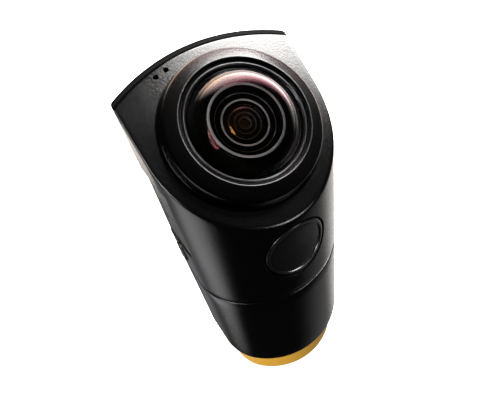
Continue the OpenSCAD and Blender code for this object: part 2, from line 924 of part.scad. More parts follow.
module sensor_flex() {
    t = 0.3;
    flex_x = 1;
    flex_w = 5;
    back_y = -(sensor_board_top - board_t)*sin(face_tilt);
    back_z = face_level + (sensor_board_top - board_t)*cos(face_tilt);
    join = [back_y - 3*cos(face_tilt), back_z - 3*sin(face_tilt)];
    out = [sin(face_tilt)*t, -cos(face_tilt)*t];
    foot_z = notch_z - 6.8;
    color("orange") translate([flex_x, 0, 0]) rotate([90, 0, 90]) linear_extrude(flex_w)
        polygon([join, join + out, [board_back + 1.8 + t, notch_z - 2.2], [board_back + t, foot_z + 2],
                 [board_back + t, foot_z], [board_back, foot_z], [board_back, foot_z + 2.1],
                 [board_back + 1.8, notch_z - 2]]);
}

module mic_gasket() {
    color([0.25, 0.25, 0.27]) difference() {
        intersection() {
            below_face(face_wall);
            at_mics() box([-boot_l/2, -boot_front, boot_z], [boot_l/2, boot_back, boot_z + far/4]);
        }
        mic_holes();
    }
}

module microphones() {
    mic_w = 2.1;
    mic_h = 0.9;
    color(steel) at_mics() for (side = [-1, 1]) translate([side*mic_pitch/2, 0, 0])
        box([-mic_w/2, -boot_front, boot_z - mic_h], [mic_w/2, boot_back, boot_z]);
}

front_shell();
back_cover();
lower_sleeve();
base_cap();
tripod_insert();
base_screws();
chassis();
seam_seal();
battery();
main_board();
board_screws();
shield_can();
heat_spreader();
antenna();
usb_port();
card_slot();
side_switch();
power_key();
port_flap();
flap_pin();
flap_seal();
shutter_button();
button_gasket();
button_board();
button_screws();
tact_switch();
lens_bezel();
retaining_ring();
lens_seal();
front_element();
second_element();
third_element();
aperture_stop();
rear_element();
lens_barrel();
lens_holder();
ir_filter();
image_sensor();
sensor_board();
sensor_flex();
mic_gasket();
microphones();
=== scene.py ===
"""Looks of a pocket camera with a dome lens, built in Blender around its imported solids.

Sizes are held in millimetres, in the frame of the solids, and become metres when a mesh is placed.
"""

import logging
import math
from dataclasses import dataclass
from enum import Enum
from typing import Callable, Dict, Iterable, List, Optional, Sequence, Tuple

import bmesh
import bpy
from mathutils import Matrix, Vector


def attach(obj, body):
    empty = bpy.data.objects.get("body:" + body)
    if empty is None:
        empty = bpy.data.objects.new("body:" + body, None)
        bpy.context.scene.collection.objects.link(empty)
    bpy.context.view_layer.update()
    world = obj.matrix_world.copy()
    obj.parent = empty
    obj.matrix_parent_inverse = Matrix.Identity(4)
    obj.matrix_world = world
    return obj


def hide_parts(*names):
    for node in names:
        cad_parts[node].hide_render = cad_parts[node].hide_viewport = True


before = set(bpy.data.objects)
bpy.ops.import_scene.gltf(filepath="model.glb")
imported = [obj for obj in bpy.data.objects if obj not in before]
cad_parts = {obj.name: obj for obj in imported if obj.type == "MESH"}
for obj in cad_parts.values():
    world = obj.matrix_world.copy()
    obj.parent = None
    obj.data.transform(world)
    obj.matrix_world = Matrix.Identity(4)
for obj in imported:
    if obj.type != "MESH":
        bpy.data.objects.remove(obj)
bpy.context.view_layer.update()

LOG = logging.getLogger("pocket_camera")
MM = 0.001
Point2 = Tuple[float, float]
Ring = List[Vector]
Place = Tuple[float, float, float]
Colour = Tuple[float, float, float]
Profile = Tuple[Tuple[float, float, float], ...]
CREASE = 32.0  # degrees, up to which neighbouring faces are shaded as one
GLASSES = ("dome", "second_glass", "third_glass", "rear_glass")


class Body(Enum):
    """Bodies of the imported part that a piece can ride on."""

    CAMERA = "camera"
    BUTTON = "button"
    KEY = "key"
    FLAP = "flap"


class Slot(Enum):
    """Material slots of the record."""

    BLACK = "black_plastic"
    SATIN = "satin_plastic"
    GOLD = "gold_plastic"
    DARK_METAL = "dark_metal"
    STEEL = "steel"
    GLASS = "lens_glass"


class Join(Enum):
    """Ways to combine two closed meshes."""

    CUT = "DIFFERENCE"
    UNITE = "UNION"


# Mesh tools


def deselect_all() -> None:
    """Leaves every object unselected, so that an operator acts on the new piece alone."""
    if bpy.context.mode != "OBJECT":
        bpy.ops.object.mode_set(mode="OBJECT")
    bpy.ops.object.select_all(action="DESELECT")


def pick(piece: bpy.types.Object) -> None:
    """Makes a piece the only selected object and the active one."""
    deselect_all()
    piece.select_set(True)
    bpy.context.view_layer.objects.active = piece


def apply_modifier(piece: bpy.types.Object, kind: str, **settings: object) -> None:
    """Adds a modifier to a piece, sets it up and applies it.

    Args:
        piece: The object to change.
        kind: Blender's name for the modifier.
        settings: The modifier's own settings.
    """
    pick(piece)
    modifier = piece.modifiers.new(kind.lower(), kind)
    for name, value in settings.items():
        setattr(modifier, name, value)
    bpy.ops.object.modifier_apply(modifier=modifier.name)


def combine(piece: bpy.types.Object, tools: Iterable[bpy.types.Object], join: Join = Join.CUT) -> None:
    """Cuts tools out of a piece, or unites them with it, and deletes the tools.

    Args:
        piece: The object to change.
        tools: Closed meshes that are used up.
        join: What is done with the tools.
    """
    for tool in tools:
        apply_modifier(piece, "BOOLEAN", operation=join.value, object=tool, solver="MANIFOLD")
        mesh = tool.data
        bpy.data.objects.remove(tool)
        bpy.data.meshes.remove(mesh)


def smooth(piece: bpy.types.Object, angle: float = CREASE) -> bpy.types.Object:
    """Shades a piece smooth, with creases where its faces meet at more than an angle in degrees."""
    pick(piece)
    bpy.ops.object.shade_smooth_by_angle(angle=math.radians(angle))
    return piece


class RingStack:
    """A mesh drawn ring by ring: a circle primitive whose edge is extruded again and again in edit mode."""

    def __init__(self, name: str, first: Ring) -> None:
        """Adds the circle and lays it on the first ring.

        Args:
            name: Name of the new object.
            first: Points of the first ring, in metres.
        """
        deselect_all()
        bpy.ops.mesh.primitive_circle_add(vertices=len(first), radius=1.0, fill_type="NOTHING")
        self.piece = bpy.context.object
        self.piece.name = name
        self.piece.data.name = name
        for vert, point in zip(self.piece.data.vertices, first):
            vert.co = point
        bpy.ops.object.mode_set(mode="EDIT")
        bpy.ops.mesh.select_all(action="SELECT")
        self._first = self._remember(bmesh.from_edit_mesh(self.piece.data), len(first))
        self._last = self._first

    @staticmethod
    def _remember(mesh: bmesh.types.BMesh, count: int) -> Dict[Tuple[float, ...], int]:
        """Returns the place of each vertex of the first ring, by its coordinates."""
        mesh.verts.ensure_lookup_table()
        return {tuple(mesh.verts[i].co): i for i in range(count)}

    def step(self, ring: Ring) -> "RingStack":
        """Extrudes the selected edge loop and lays the new loop on a ring.

        Args:
            ring: Points of the next ring, in the order of the first one.

        Returns:
            The stack, so that calls can follow each other.
        """
        bpy.ops.mesh.extrude_region()
        mesh = bmesh.from_edit_mesh(self.piece.data)
        places: Dict[Tuple[float, ...], int] = {}
        for vert in mesh.verts:
            if vert.select:
                index = self._last[tuple(vert.co)]
                vert.co = ring[index]
                places[tuple(vert.co)] = index
        bmesh.update_edit_mesh(self.piece.data)
        self._last = places
        return self

    def steps(self, rings: Iterable[Ring]) -> "RingStack":
        """Adds several rings in order."""
        for ring in rings:
            self.step(ring)
        return self

    def fill(self) -> "RingStack":
        """Closes the present loop with one flat face."""
        bpy.ops.mesh.edge_face_add()
        return self

    def pole(self, point: Vector) -> "RingStack":
        """Closes the present loop with a fan of triangles that meet in a point."""
        self.step([point] * len(self._last))
        return self

    def restart(self) -> "RingStack":
        """Selects the first ring again, so that the other side can be drawn."""
        bpy.ops.mesh.select_all(action="DESELECT")
        mesh = bmesh.from_edit_mesh(self.piece.data)
        for vert in mesh.verts:
            if tuple(vert.co) in self._first:
                vert.select_set(True)
        mesh.select_flush(True)
        bmesh.update_edit_mesh(self.piece.data)
        self._last = self._first
        return self

    def done(self, angle: float = CREASE) -> bpy.types.Object:
        """Merges doubles, turns the faces outwards and shades the piece.

        Args:
            angle: Crease angle in degrees.

        Returns:
            The finished object.
        """
        bpy.ops.mesh.select_all(action="SELECT")
        bpy.ops.mesh.remove_doubles(threshold=1e-7)
        bpy.ops.mesh.normals_make_consistent(inside=False)
        bpy.ops.object.mode_set(mode="OBJECT")
        return smooth(self.piece, angle)


def loft(name: str, rings: Sequence[Ring], angle: float = CREASE) -> bpy.types.Object:
    """Draws a solid through rings and closes both its ends with a flat face.

    Args:
        name: Name of the new object.
        rings: Rings with equal counts of points, in metres.
        angle: Crease angle in degrees.

    Returns:
        The solid.
    """
    return RingStack(name, rings[0]).steps(rings[1:]).fill().restart().fill().done(angle)


def full_turn(count: int) -> List[float]:
    """Returns angles spread evenly round a circle."""
    return [2 * math.pi * i / count for i in range(count)]


def curve_through(start: Vector, corner: Vector, end: Vector, count: int) -> List[Vector]:
    """Returns count + 1 points on a round from start to end that bends at a corner."""
    points = []
    for i in range(count + 1):
        u = i / count
        points.append(start * (1 - u) ** 2 + corner * (2 * u * (1 - u)) + end * u**2)
    return points


def rounded_path(path: Profile, count: int) -> List[Point2]:
    """Rounds the corners of a closed profile.

    Args:
        path: Corners as (radius, height, length cut off at the corner).
        count: Segments in each round.

    Returns:
        Points of the closed profile, the first not repeated.
    """
    points: List[Point2] = []
    corners = [Vector((r, h, 0.0)) for r, h, _ in path]
    for i, corner in enumerate(corners):
        cut_length = path[i][2]
        if cut_length <= 0:
            points.append((corner.x, corner.y))
            continue
        before = (corners[i - 1] - corner).normalized() * cut_length
        after = (corners[(i + 1) % len(corners)] - corner).normalized() * cut_length
        points += [(p.x, p.y) for p in curve_through(corner + before, corner, corner + after, count)]
    return points


def slab(name: str, low: Sequence[float], high: Sequence[float]) -> bpy.types.Object:
    """Adds a cube and lays its corners on a box.

    Args:
        name: Name of the new object.
        low: Lowest corner in millimetres.
        high: Highest corner in millimetres.

    Returns:
        The block.
    """
    deselect_all()
    bpy.ops.mesh.primitive_cube_add(size=1.0)
    block = bpy.context.object
    block.name = name
    middle = (Vector(low) + Vector(high)) / 2
    size = Vector(high) - Vector(low)
    for vert in block.data.vertices:
        vert.co = (middle + vert.co * size) * MM
    return block


def soft_rect(width: float, height: float, r: float, count: int = 8) -> List[Point2]:
    """Returns the points of a rectangle with round corners, about its middle."""
    points: List[Point2] = []
    for turn, (sx, sy) in enumerate(((1, 1), (-1, 1), (-1, -1), (1, -1))):
        for i in range(count + 1):
            a = math.pi / 2 * (turn + i / count)
            points.append((sx * (width / 2 - r) + r * math.cos(a), sy * (height / 2 - r) + r * math.sin(a)))
    return points


def cap_centre(sphere_r: float, edge_r: float, edge_h: float) -> float:
    """Returns the height of the centre of the sphere that a cap is cut from."""
    return edge_h - math.sqrt(sphere_r**2 - edge_r**2)


def arc_heights(sphere_r: float, edge_r: float, edge_h: float, count: int) -> List[Point2]:
    """Returns (radius, height) points on a sphere cap, from its edge up to just before its pole."""
    centre = cap_centre(sphere_r, edge_r, edge_h)
    reach = math.asin(edge_r / sphere_r)
    angles = [reach * (1 - i / count) for i in range(count)]
    return [(sphere_r * math.sin(a), centre + sphere_r * math.cos(a)) for a in angles]


# The body's plan and the lens frame


@dataclass(frozen=True)
class BodyPlan:
    """Plan of the drafted oval body and the slant of its face, as the solids have them."""

    width: float = 36.8
    front: float = 14.4
    back: float = 13.8
    front_arc_r: float = 20.2
    side_arc_r: float = 14.0
    back_arc_r: float = 52.0
    draft: float = 1.24
    base_h: float = 7.2
    seam_z: float = 38.2
    face_z: float = 73.8
    face_tilt: float = 41.2
    wall: float = 2.0
    front_count: int = 56
    side_count: int = 28
    straight_count: int = 18
    corner_count: int = 8
    back_count: int = 48

    @property
    def front_cy(self) -> float:
        """Centre of the front arc, behind the socket axis."""
        return self.front_arc_r - self.front

    @property
    def side_centre(self) -> Point2:
        """Centre of the right side arc."""
        x = self.width / 2 - self.side_arc_r
        return x, self.front_cy - math.sqrt((self.front_arc_r - self.side_arc_r) ** 2 - x**2)

    @property
    def slope(self) -> float:
        """Rise of the face for each millimetre towards the back."""
        return math.tan(math.radians(self.face_tilt))

    def grow(self, z: float, inset: float = 0.0) -> float:
        """Returns how far the walls stand out at a height, less an inset."""
        return (z - self.seam_z) * math.tan(math.radians(self.draft)) - inset

    def left_x(self, z: float, sunk: float = 0.0) -> float:
        """Returns where the straight left wall is at a height, or a plane sunk under it."""
        return -(self.width / 2 + self.grow(z) - sunk)

    def front_disc(self, r: float, z: float, sunk: float, count: int = 160) -> Ring:
        """Returns a circle that lies on the front wall about a height, sunk by a depth."""
        ring = []
        for a in full_turn(count):
            x, up = r * math.cos(a), z + r * math.sin(a)
            ring.append(Vector((x, self.front_y(x, up) + sunk, up)) * MM)
        return ring

    def front_y(self, x: float, z: float) -> float:
        """Returns where the front wall is at a place across it and a height."""
        return self.front_cy - math.sqrt((self.front_arc_r + self.grow(z)) ** 2 - x**2)

    def outline(self, grow: float, back_inset: float = 0.0, corner: float = 0.6) -> List[Point2]:
        """Draws the closed plan.

        Args:
            grow: How far all walls stand out.
            back_inset: How far the back arc is set in besides.
            corner: Length of the round at the two back corners.

        Returns:
            Points from the front's middle round by the right side, the back and the left side.
        """
        half = self.width / 2 + grow
        side_x, side_y = self.side_centre
        fan = math.atan2(side_x, self.front_cy - side_y)
        back_cy = self.back - self.back_arc_r
        back_r = self.back_arc_r + grow - back_inset
        corner_y = back_cy + math.sqrt(back_r**2 - half**2)
        right: List[Point2] = []
        for i in range(self.front_count):
            a = fan * i / self.front_count
            r = self.front_arc_r + grow
            right.append((r * math.sin(a), self.front_cy - r * math.cos(a)))
        for i in range(self.side_count):
            a = fan + (math.pi / 2 - fan) * i / self.side_count
            r = self.side_arc_r + grow
            right.append((side_x + r * math.sin(a), side_y - r * math.cos(a)))
        for i in range(self.straight_count):
            right.append((half, side_y + (corner_y - corner - side_y) * i / self.straight_count))
        end_x = half - corner
        end = Vector((end_x, back_cy + math.sqrt(back_r**2 - end_x**2), 0))
        start, turn_at = Vector((half, corner_y - corner, 0)), Vector((half, corner_y, 0))
        bend = curve_through(start, turn_at, end, self.corner_count)
        right += [(p.x, p.y) for p in bend[:-1]]
        for i in range(self.back_count + 1):
            x = end_x * (1 - i / self.back_count)
            right.append((x, back_cy + math.sqrt(back_r**2 - x**2)))
        left = [(-x, y) for x, y in reversed(right[1:-1])]
        return right + left

    def level(self, z: float, inset: float = 0.0, **options: float) -> Ring:
        """Returns the plan at a height as a ring in metres."""
        return [Vector((x, y, z)) * MM for x, y in self.outline(self.grow(z, inset), **options)]

    def to_world(self, u: float, v: float, w: float) -> Vector:
        """Turns a place in the lens frame into metres in the frame of the solids."""
        tilt = Matrix.Rotation(math.radians(self.face_tilt), 3, "X")
        return (tilt @ Vector((u, v, w)) + Vector((0, 0, self.face_z))) * MM

    def lens_ring(self, r: float, h: float, count: int = 160) -> Ring:
        """Returns a circle about the lens axis."""
        return [self.to_world(r * math.cos(a), r * math.sin(a), h) for a in full_turn(count)]


class WallRuler:
    """The straight lines that run up a drafted wall, one for each point of the plan."""

    LOW, HIGH = 0.0, 100.0

    def __init__(self, plan: BodyPlan, inset: float = 0.0, **options: float) -> None:
        """Lays the lines.

        Args:
            plan: The body's plan.
            inset: How far the wall is set in.
            options: Further settings of the outline.
        """
        self.plan = plan
        self._low = plan.outline(plan.grow(self.LOW, inset), **options)
        self._high = plan.outline(plan.grow(self.HIGH, inset), **options)

    def at(self, index: int, z: float) -> Vector:
        """Returns the point of one line at a height, in millimetres."""
        t = (z - self.LOW) / (self.HIGH - self.LOW)
        (x0, y0), (x1, y1) = self._low[index], self._high[index]
        return Vector((x0 + (x1 - x0) * t, y0 + (y1 - y0) * t, z))

    def top(self, index: int, drop: float = 0.0) -> Vector:
        """Returns where one line meets the slanted face, or a plane under it, in millimetres."""
        plan = self.plan
        y0, y1 = self._low[index][1], self._high[index][1]
        lean = (y1 - y0) / (self.HIGH - self.LOW)
        foot = plan.face_z - drop / math.cos(math.radians(plan.face_tilt)) + plan.slope * y0
        return self.at(index, foot / (1 - plan.slope * lean))

    def count(self) -> int:
        """Returns the number of lines."""
        return len(self._low)


# Finishes


def feed(tree: bpy.types.NodeTree, socket: bpy.types.NodeSocket, value: object) -> None:
    """Links a socket to another node's output, or sets it to a value."""
    if isinstance(value, bpy.types.NodeSocket):
        tree.links.new(value, socket)
    else:
        socket.default_value = value


@dataclass(frozen=True)
class Grain:
    """Fine relief of a surface: the size of its marks, their depth and the share of it that shows."""

    size_mm: float = 0.22
    depth_mm: float = 0.02
    strength: float = 0.5


class NodeSheet:
    """A material's node tree with short ways to add nodes and links."""

    NOISE_LOW, NOISE_HIGH = 0.3, 0.7

    def __init__(self, name: str) -> None:
        """Starts a material with a lone surface shader."""
        self.material = bpy.data.materials.new(name)
        self.material.use_nodes = True
        self.tree = self.material.node_tree
        self.shader = self.tree.nodes["Principled BSDF"]
        self.place = self.add("ShaderNodeTexCoord").outputs["Object"]

    def add(self, kind: str, inputs: Optional[Dict[str, object]] = None,
            **settings: object) -> bpy.types.Node:
        """Adds a node.

        Args:
            kind: Blender's name for the node.
            inputs: Values of its sockets, or outputs to link to them.
            settings: Its own settings.

        Returns:
            The new node.
        """
        node = self.tree.nodes.new(kind)
        for name, value in settings.items():
            setattr(node, name, value)
        for name, value in (inputs or {}).items():
            feed(self.tree, node.inputs[name], value)
        return node

    def surface(self, **values: object) -> None:
        """Sets or links sockets of the shader, named with underscores for spaces."""
        for name, value in values.items():
            feed(self.tree, self.shader.inputs[name.replace("_", " ")], value)

    def noise(self, size_mm: float, detail: float = 2.0, roughness: float = 0.5) -> bpy.types.NodeSocket:
        """Returns a noise value whose blots are about a size across."""
        node = self.add("ShaderNodeTexNoise", {
            "Vector": self.place, "Scale": 1 / (size_mm * MM), "Detail": detail, "Roughness": roughness})
        return node.outputs["Fac"]

    def spread(self, value: bpy.types.NodeSocket, low: float, high: float) -> bpy.types.NodeSocket:
        """Maps the middle of a noise value to a range."""
        node = self.add("ShaderNodeMapRange", {
            "Value": value, "From Min": self.NOISE_LOW, "From Max": self.NOISE_HIGH, "To Min": low,
            "To Max": high})
        return node.outputs["Result"]

    def tint(self, value: bpy.types.NodeSocket, dark: Colour, light: Colour) -> bpy.types.NodeSocket:
        """Blends two colours by a noise value."""
        node = self.add("ShaderNodeMix", data_type="RGBA")
        self.tree.links.new(self.spread(value, 0.0, 1.0), node.inputs["Factor"])
        colours = [s for s in node.inputs if s.type == "RGBA"]
        colours[0].default_value = (*dark, 1)
        colours[1].default_value = (*light, 1)
        return [s for s in node.outputs if s.type == "RGBA"][0]

    def bump(self, height: bpy.types.NodeSocket, grain: Grain) -> bpy.types.NodeSocket:
        """Returns a normal bumped by a height value, as deep and as strong as a grain."""
        inputs = {"Height": height, "Distance": grain.depth_mm * MM, "Strength": grain.strength}
        return self.add("ShaderNodeBump", inputs).outputs["Normal"]


@dataclass(frozen=True)
class MouldedPlastic:
    """Moulded plastic with a fine grain and a slow change of gloss."""

    name: str
    dark: Colour
    light: Colour
    roughness: Point2
    grain: Grain = Grain()
    specular: float = 0.5
    cloud_mm: float = 14.0

    def make(self) -> bpy.types.Material:
        """Returns the material."""
        sheet = NodeSheet(self.name)
        grain = sheet.noise(self.grain.size_mm, 3.0, 0.6)
        cloud = sheet.noise(self.cloud_mm)
        sheet.surface(Base_Color=sheet.tint(grain, self.dark, self.light),
                      Roughness=sheet.spread(cloud, *self.roughness),
                      Specular_IOR_Level=self.specular,
                      Normal=sheet.bump(grain, self.grain))
        return sheet.material


@dataclass(frozen=True)
class Metal:
    """Turned or stamped metal with fine marks."""

    name: str
    dark: Colour
    light: Colour
    roughness: Point2
    metallic: float = 1.0
    marks: Grain = Grain(0.3, 0.005, 0.3)
    cloud_mm: float = 3.0

    def make(self) -> bpy.types.Material:
        """Returns the material."""
        sheet = NodeSheet(self.name)
        marks = sheet.noise(self.marks.size_mm, 3.0)
        cloud = sheet.noise(self.cloud_mm)
        sheet.surface(Base_Color=sheet.tint(cloud, self.dark, self.light), Metallic=self.metallic,
                      Roughness=sheet.spread(marks, *self.roughness), Normal=sheet.bump(marks, self.marks))
        return sheet.material


@dataclass(frozen=True)
class CoatedGlass:
    """Clear glass with a coloured coating on its surface."""

    name: str
    colour: Colour
    coating: Colour
    ior: float = 1.52
    smear: Grain = Grain(6.0, 0.002, 0.02)

    def make(self) -> bpy.types.Material:
        """Returns the material."""
        sheet = NodeSheet(self.name)
        smear = sheet.noise(self.smear.size_mm)
        sheet.surface(Base_Color=(*self.colour, 1), Roughness=0.0, IOR=self.ior, Transmission_Weight=1.0,
                      Specular_IOR_Level=0.5, Specular_Tint=(*self.coating, 1),
                      Normal=sheet.bump(smear, self.smear))
        return sheet.material


@dataclass(frozen=True)
class SoftRubber:
    """Matt rubber of the seals."""

    name: str
    dark: Colour = (0.018, 0.018, 0.019)
    light: Colour = (0.03, 0.03, 0.031)
    roughness: float = 0.85
    grain: Grain = Grain(0.4, 0.02, 0.3)

    def make(self) -> bpy.types.Material:
        """Returns the material."""
        sheet = NodeSheet(self.name)
        grain = sheet.noise(self.grain.size_mm, 3.0)
        sheet.surface(Base_Color=sheet.tint(grain, self.dark, self.light), Roughness=self.roughness,
                      Normal=sheet.bump(grain, self.grain))
        return sheet.material


@dataclass(frozen=True)
class FloorPaper:
    """Pale paper under the camera."""

    name: str = "floor_paper"
    dark: Colour = (0.88, 0.88, 0.88)
    light: Colour = (0.9, 0.9, 0.9)
    roughness: float = 0.9
    specular: float = 0.1
    fibre_mm: float = 1.2
    glow: float = 0.65

    def make(self) -> bpy.types.Material:
        """Returns the material."""
        sheet = NodeSheet(self.name)
        fibre = sheet.noise(self.fibre_mm, 3.0)
        sheet.surface(Base_Color=sheet.tint(fibre, self.dark, self.light), Roughness=self.roughness,
                      Specular_IOR_Level=self.specular, Emission_Color=(1, 1, 1, 1),
                      Emission_Strength=self.glow)
        return sheet.material


class Finishes:
    """The camera's materials, each made once."""

    def __init__(self) -> None:
        """Makes all materials."""
        fine = Grain(0.3, 0.004, 0.2)
        self.body = MouldedPlastic(
            "grained_black_plastic", (0.0004, 0.0004, 0.0005), (0.001, 0.001, 0.0011), (0.16, 0.21),
            Grain(0.36, 0.045, 0.7), 0.38).make()
        self.cover = MouldedPlastic(
            "matt_black_plastic", (0.0005, 0.0005, 0.0006), (0.001, 0.001, 0.0011), (0.5, 0.6),
            specular=0.03).make()
        self.satin = MouldedPlastic(
            "satin_black_plastic", (0.003, 0.003, 0.0033), (0.004, 0.004, 0.0043), (0.24, 0.3),
            Grain(0.12, 0.004, 0.2)).make()
        self.bezel = MouldedPlastic(
            "bezel_black_plastic", (0.0005, 0.0005, 0.0006), (0.0012, 0.0012, 0.0013), (0.22, 0.28),
            Grain(0.34, 0.05, 0.9), 0.3).make()
        self.gold = MouldedPlastic(
            "golden_plastic", (0.76, 0.4, 0.045), (0.81, 0.44, 0.06), (0.36, 0.44),
            Grain(0.25, 0.008, 0.3), 0.3).make()
        self.inner = MouldedPlastic(
            "inner_plastic", (0.012, 0.012, 0.013), (0.02, 0.02, 0.021), (0.5, 0.6)).make()
        self.edge = MouldedPlastic(
            "edge_lacquer", (0.33, 0.32, 0.325), (0.4, 0.39, 0.395), (0.6, 0.7), fine, 0.1).make()
        self.faint = MouldedPlastic(
            "faint_lacquer", (0.07, 0.07, 0.066), (0.1, 0.1, 0.094), (0.6, 0.7), fine, 0.1).make()
        self.steel = Metal("plain_steel", (0.45, 0.45, 0.46), (0.6, 0.6, 0.61), (0.22, 0.34)).make()
        self.brass = Metal("turned_brass", (0.55, 0.4, 0.18), (0.66, 0.49, 0.24), (0.25, 0.38)).make()
        self.ring = Metal("ring_metal", (0.05, 0.05, 0.053), (0.08, 0.08, 0.083), (0.28, 0.36)).make()
        self.barrel = MouldedPlastic(
            "barrel_black", (0.002, 0.002, 0.0022), (0.004, 0.004, 0.0042), (0.85, 0.95),
            Grain(0.2, 0.004, 0.2), 0.0).make()
        self.board = MouldedPlastic(
            "board_lacquer", (0.01, 0.09, 0.045), (0.014, 0.12, 0.06), (0.25, 0.35),
            Grain(1.5, 0.01, 0.3)).make()
        self.film = MouldedPlastic(
            "copper_film", (0.4, 0.17, 0.04), (0.5, 0.22, 0.06), (0.2, 0.3), Grain(0.8, 0.005, 0.2)).make()
        self.wrap = MouldedPlastic(
            "cell_wrap", (0.12, 0.15, 0.19), (0.15, 0.18, 0.22), (0.3, 0.4), Grain(1.0, 0.01, 0.3)).make()
        self.sensor = Metal("sensor_face", (0.03, 0.04, 0.06), (0.05, 0.06, 0.09), (0.1, 0.18), 0.4).make()
        self.dome = CoatedGlass("dome_glass", (0.97, 0.98, 0.97), (0.06, 0.012, 0.01)).make()
        self.second = CoatedGlass("second_glass", (0.92, 0.96, 0.93), (1.0, 0.42, 0.12)).make()
        self.third = CoatedGlass("third_glass", (0.95, 0.93, 0.9), (0.9, 0.4, 0.12)).make()
        self.inner_glass = CoatedGlass("inner_glass", (0.9, 0.93, 0.95), (0.3, 0.15, 0.4)).make()
        self.rubber = SoftRubber("seal_rubber").make()


def dress(piece: bpy.types.Object, material: bpy.types.Material) -> None:
    """Gives a piece one material."""
    piece.data.materials.clear()
    piece.data.materials.append(material)


def settle(piece: bpy.types.Object, material: bpy.types.Material, body: Body, slot: Slot, node: str) -> None:
    """Dresses a finished piece, hangs it on the body that it moves with and hides the node that it replaces.

    Args:
        piece: The finished piece.
        material: Its finish.
        body: The body that it moves with.
        slot: The record's material slot; not used.
        node: The node that it replaces.
    """
    dress(piece, material)
    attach(piece, body.value)
    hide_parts(node)
    LOG.info("%s on %s, %d faces", piece.name, body.value, len(piece.data.polygons))


# Sub-assemblies


@dataclass(frozen=True)
class SidePlaces:
    """Where the recess, the flap and the key sit on the left wall, as the solids have them."""

    recess_z: float = 50.4
    recess_h: float = 18.6
    recess_front: float = -1.5
    recess_sunk: float = 0.45
    flap_w: float = 7.6
    flap_t: float = 1.0
    play: float = 0.3
    trim: float = 0.1
    swing_room: float = 1.4
    hinge_y: float = 0.7
    barrel_r: float = 0.9
    pin_r: float = 0.5
    key_y: float = 6.85
    key_z: float = 45.9
    key_w: float = 3.4
    key_l: float = 6.2
    key_gap: float = 0.3

    @property
    def middle(self) -> float:
        """Height of the middle of the recess."""
        return self.recess_z + self.recess_h / 2

    @property
    def hinge_sunk(self) -> float:
        """Depth of the hinge axis under the wall."""
        return self.recess_sunk + self.barrel_r

    @property
    def flap_h(self) -> float:
        """Height of the flap."""
        return self.recess_h - 2 * (self.trim + self.play)

    def key_ring(self, x: float, extra: float) -> Ring:
        """Returns the key's outline, grown by an amount, at a place across the wall."""
        half = self.key_w / 2 + extra
        outline = soft_rect(2 * half, self.key_l + 2 * extra, half, 14)
        return [Vector((x, self.key_y + y, self.key_z + z)) * MM for y, z in outline]


def upright_rod(name: str, x: float, y: float, ends: Point2, r: float, count: int = 40) -> bpy.types.Object:
    """Draws a rod that stands upright.

    Args:
        name: Name of the new object.
        x: Place of its axis across the body.
        y: Place of its axis from front to back.
        ends: Lowest and highest end.
        r: Radius.
        count: Sides of the rod.

    Returns:
        The rod.
    """
    angles = full_turn(count)
    rings = [[Vector((x + r * math.cos(a), y + r * math.sin(a), z)) * MM for a in angles] for z in ends]
    return loft(name, rings)


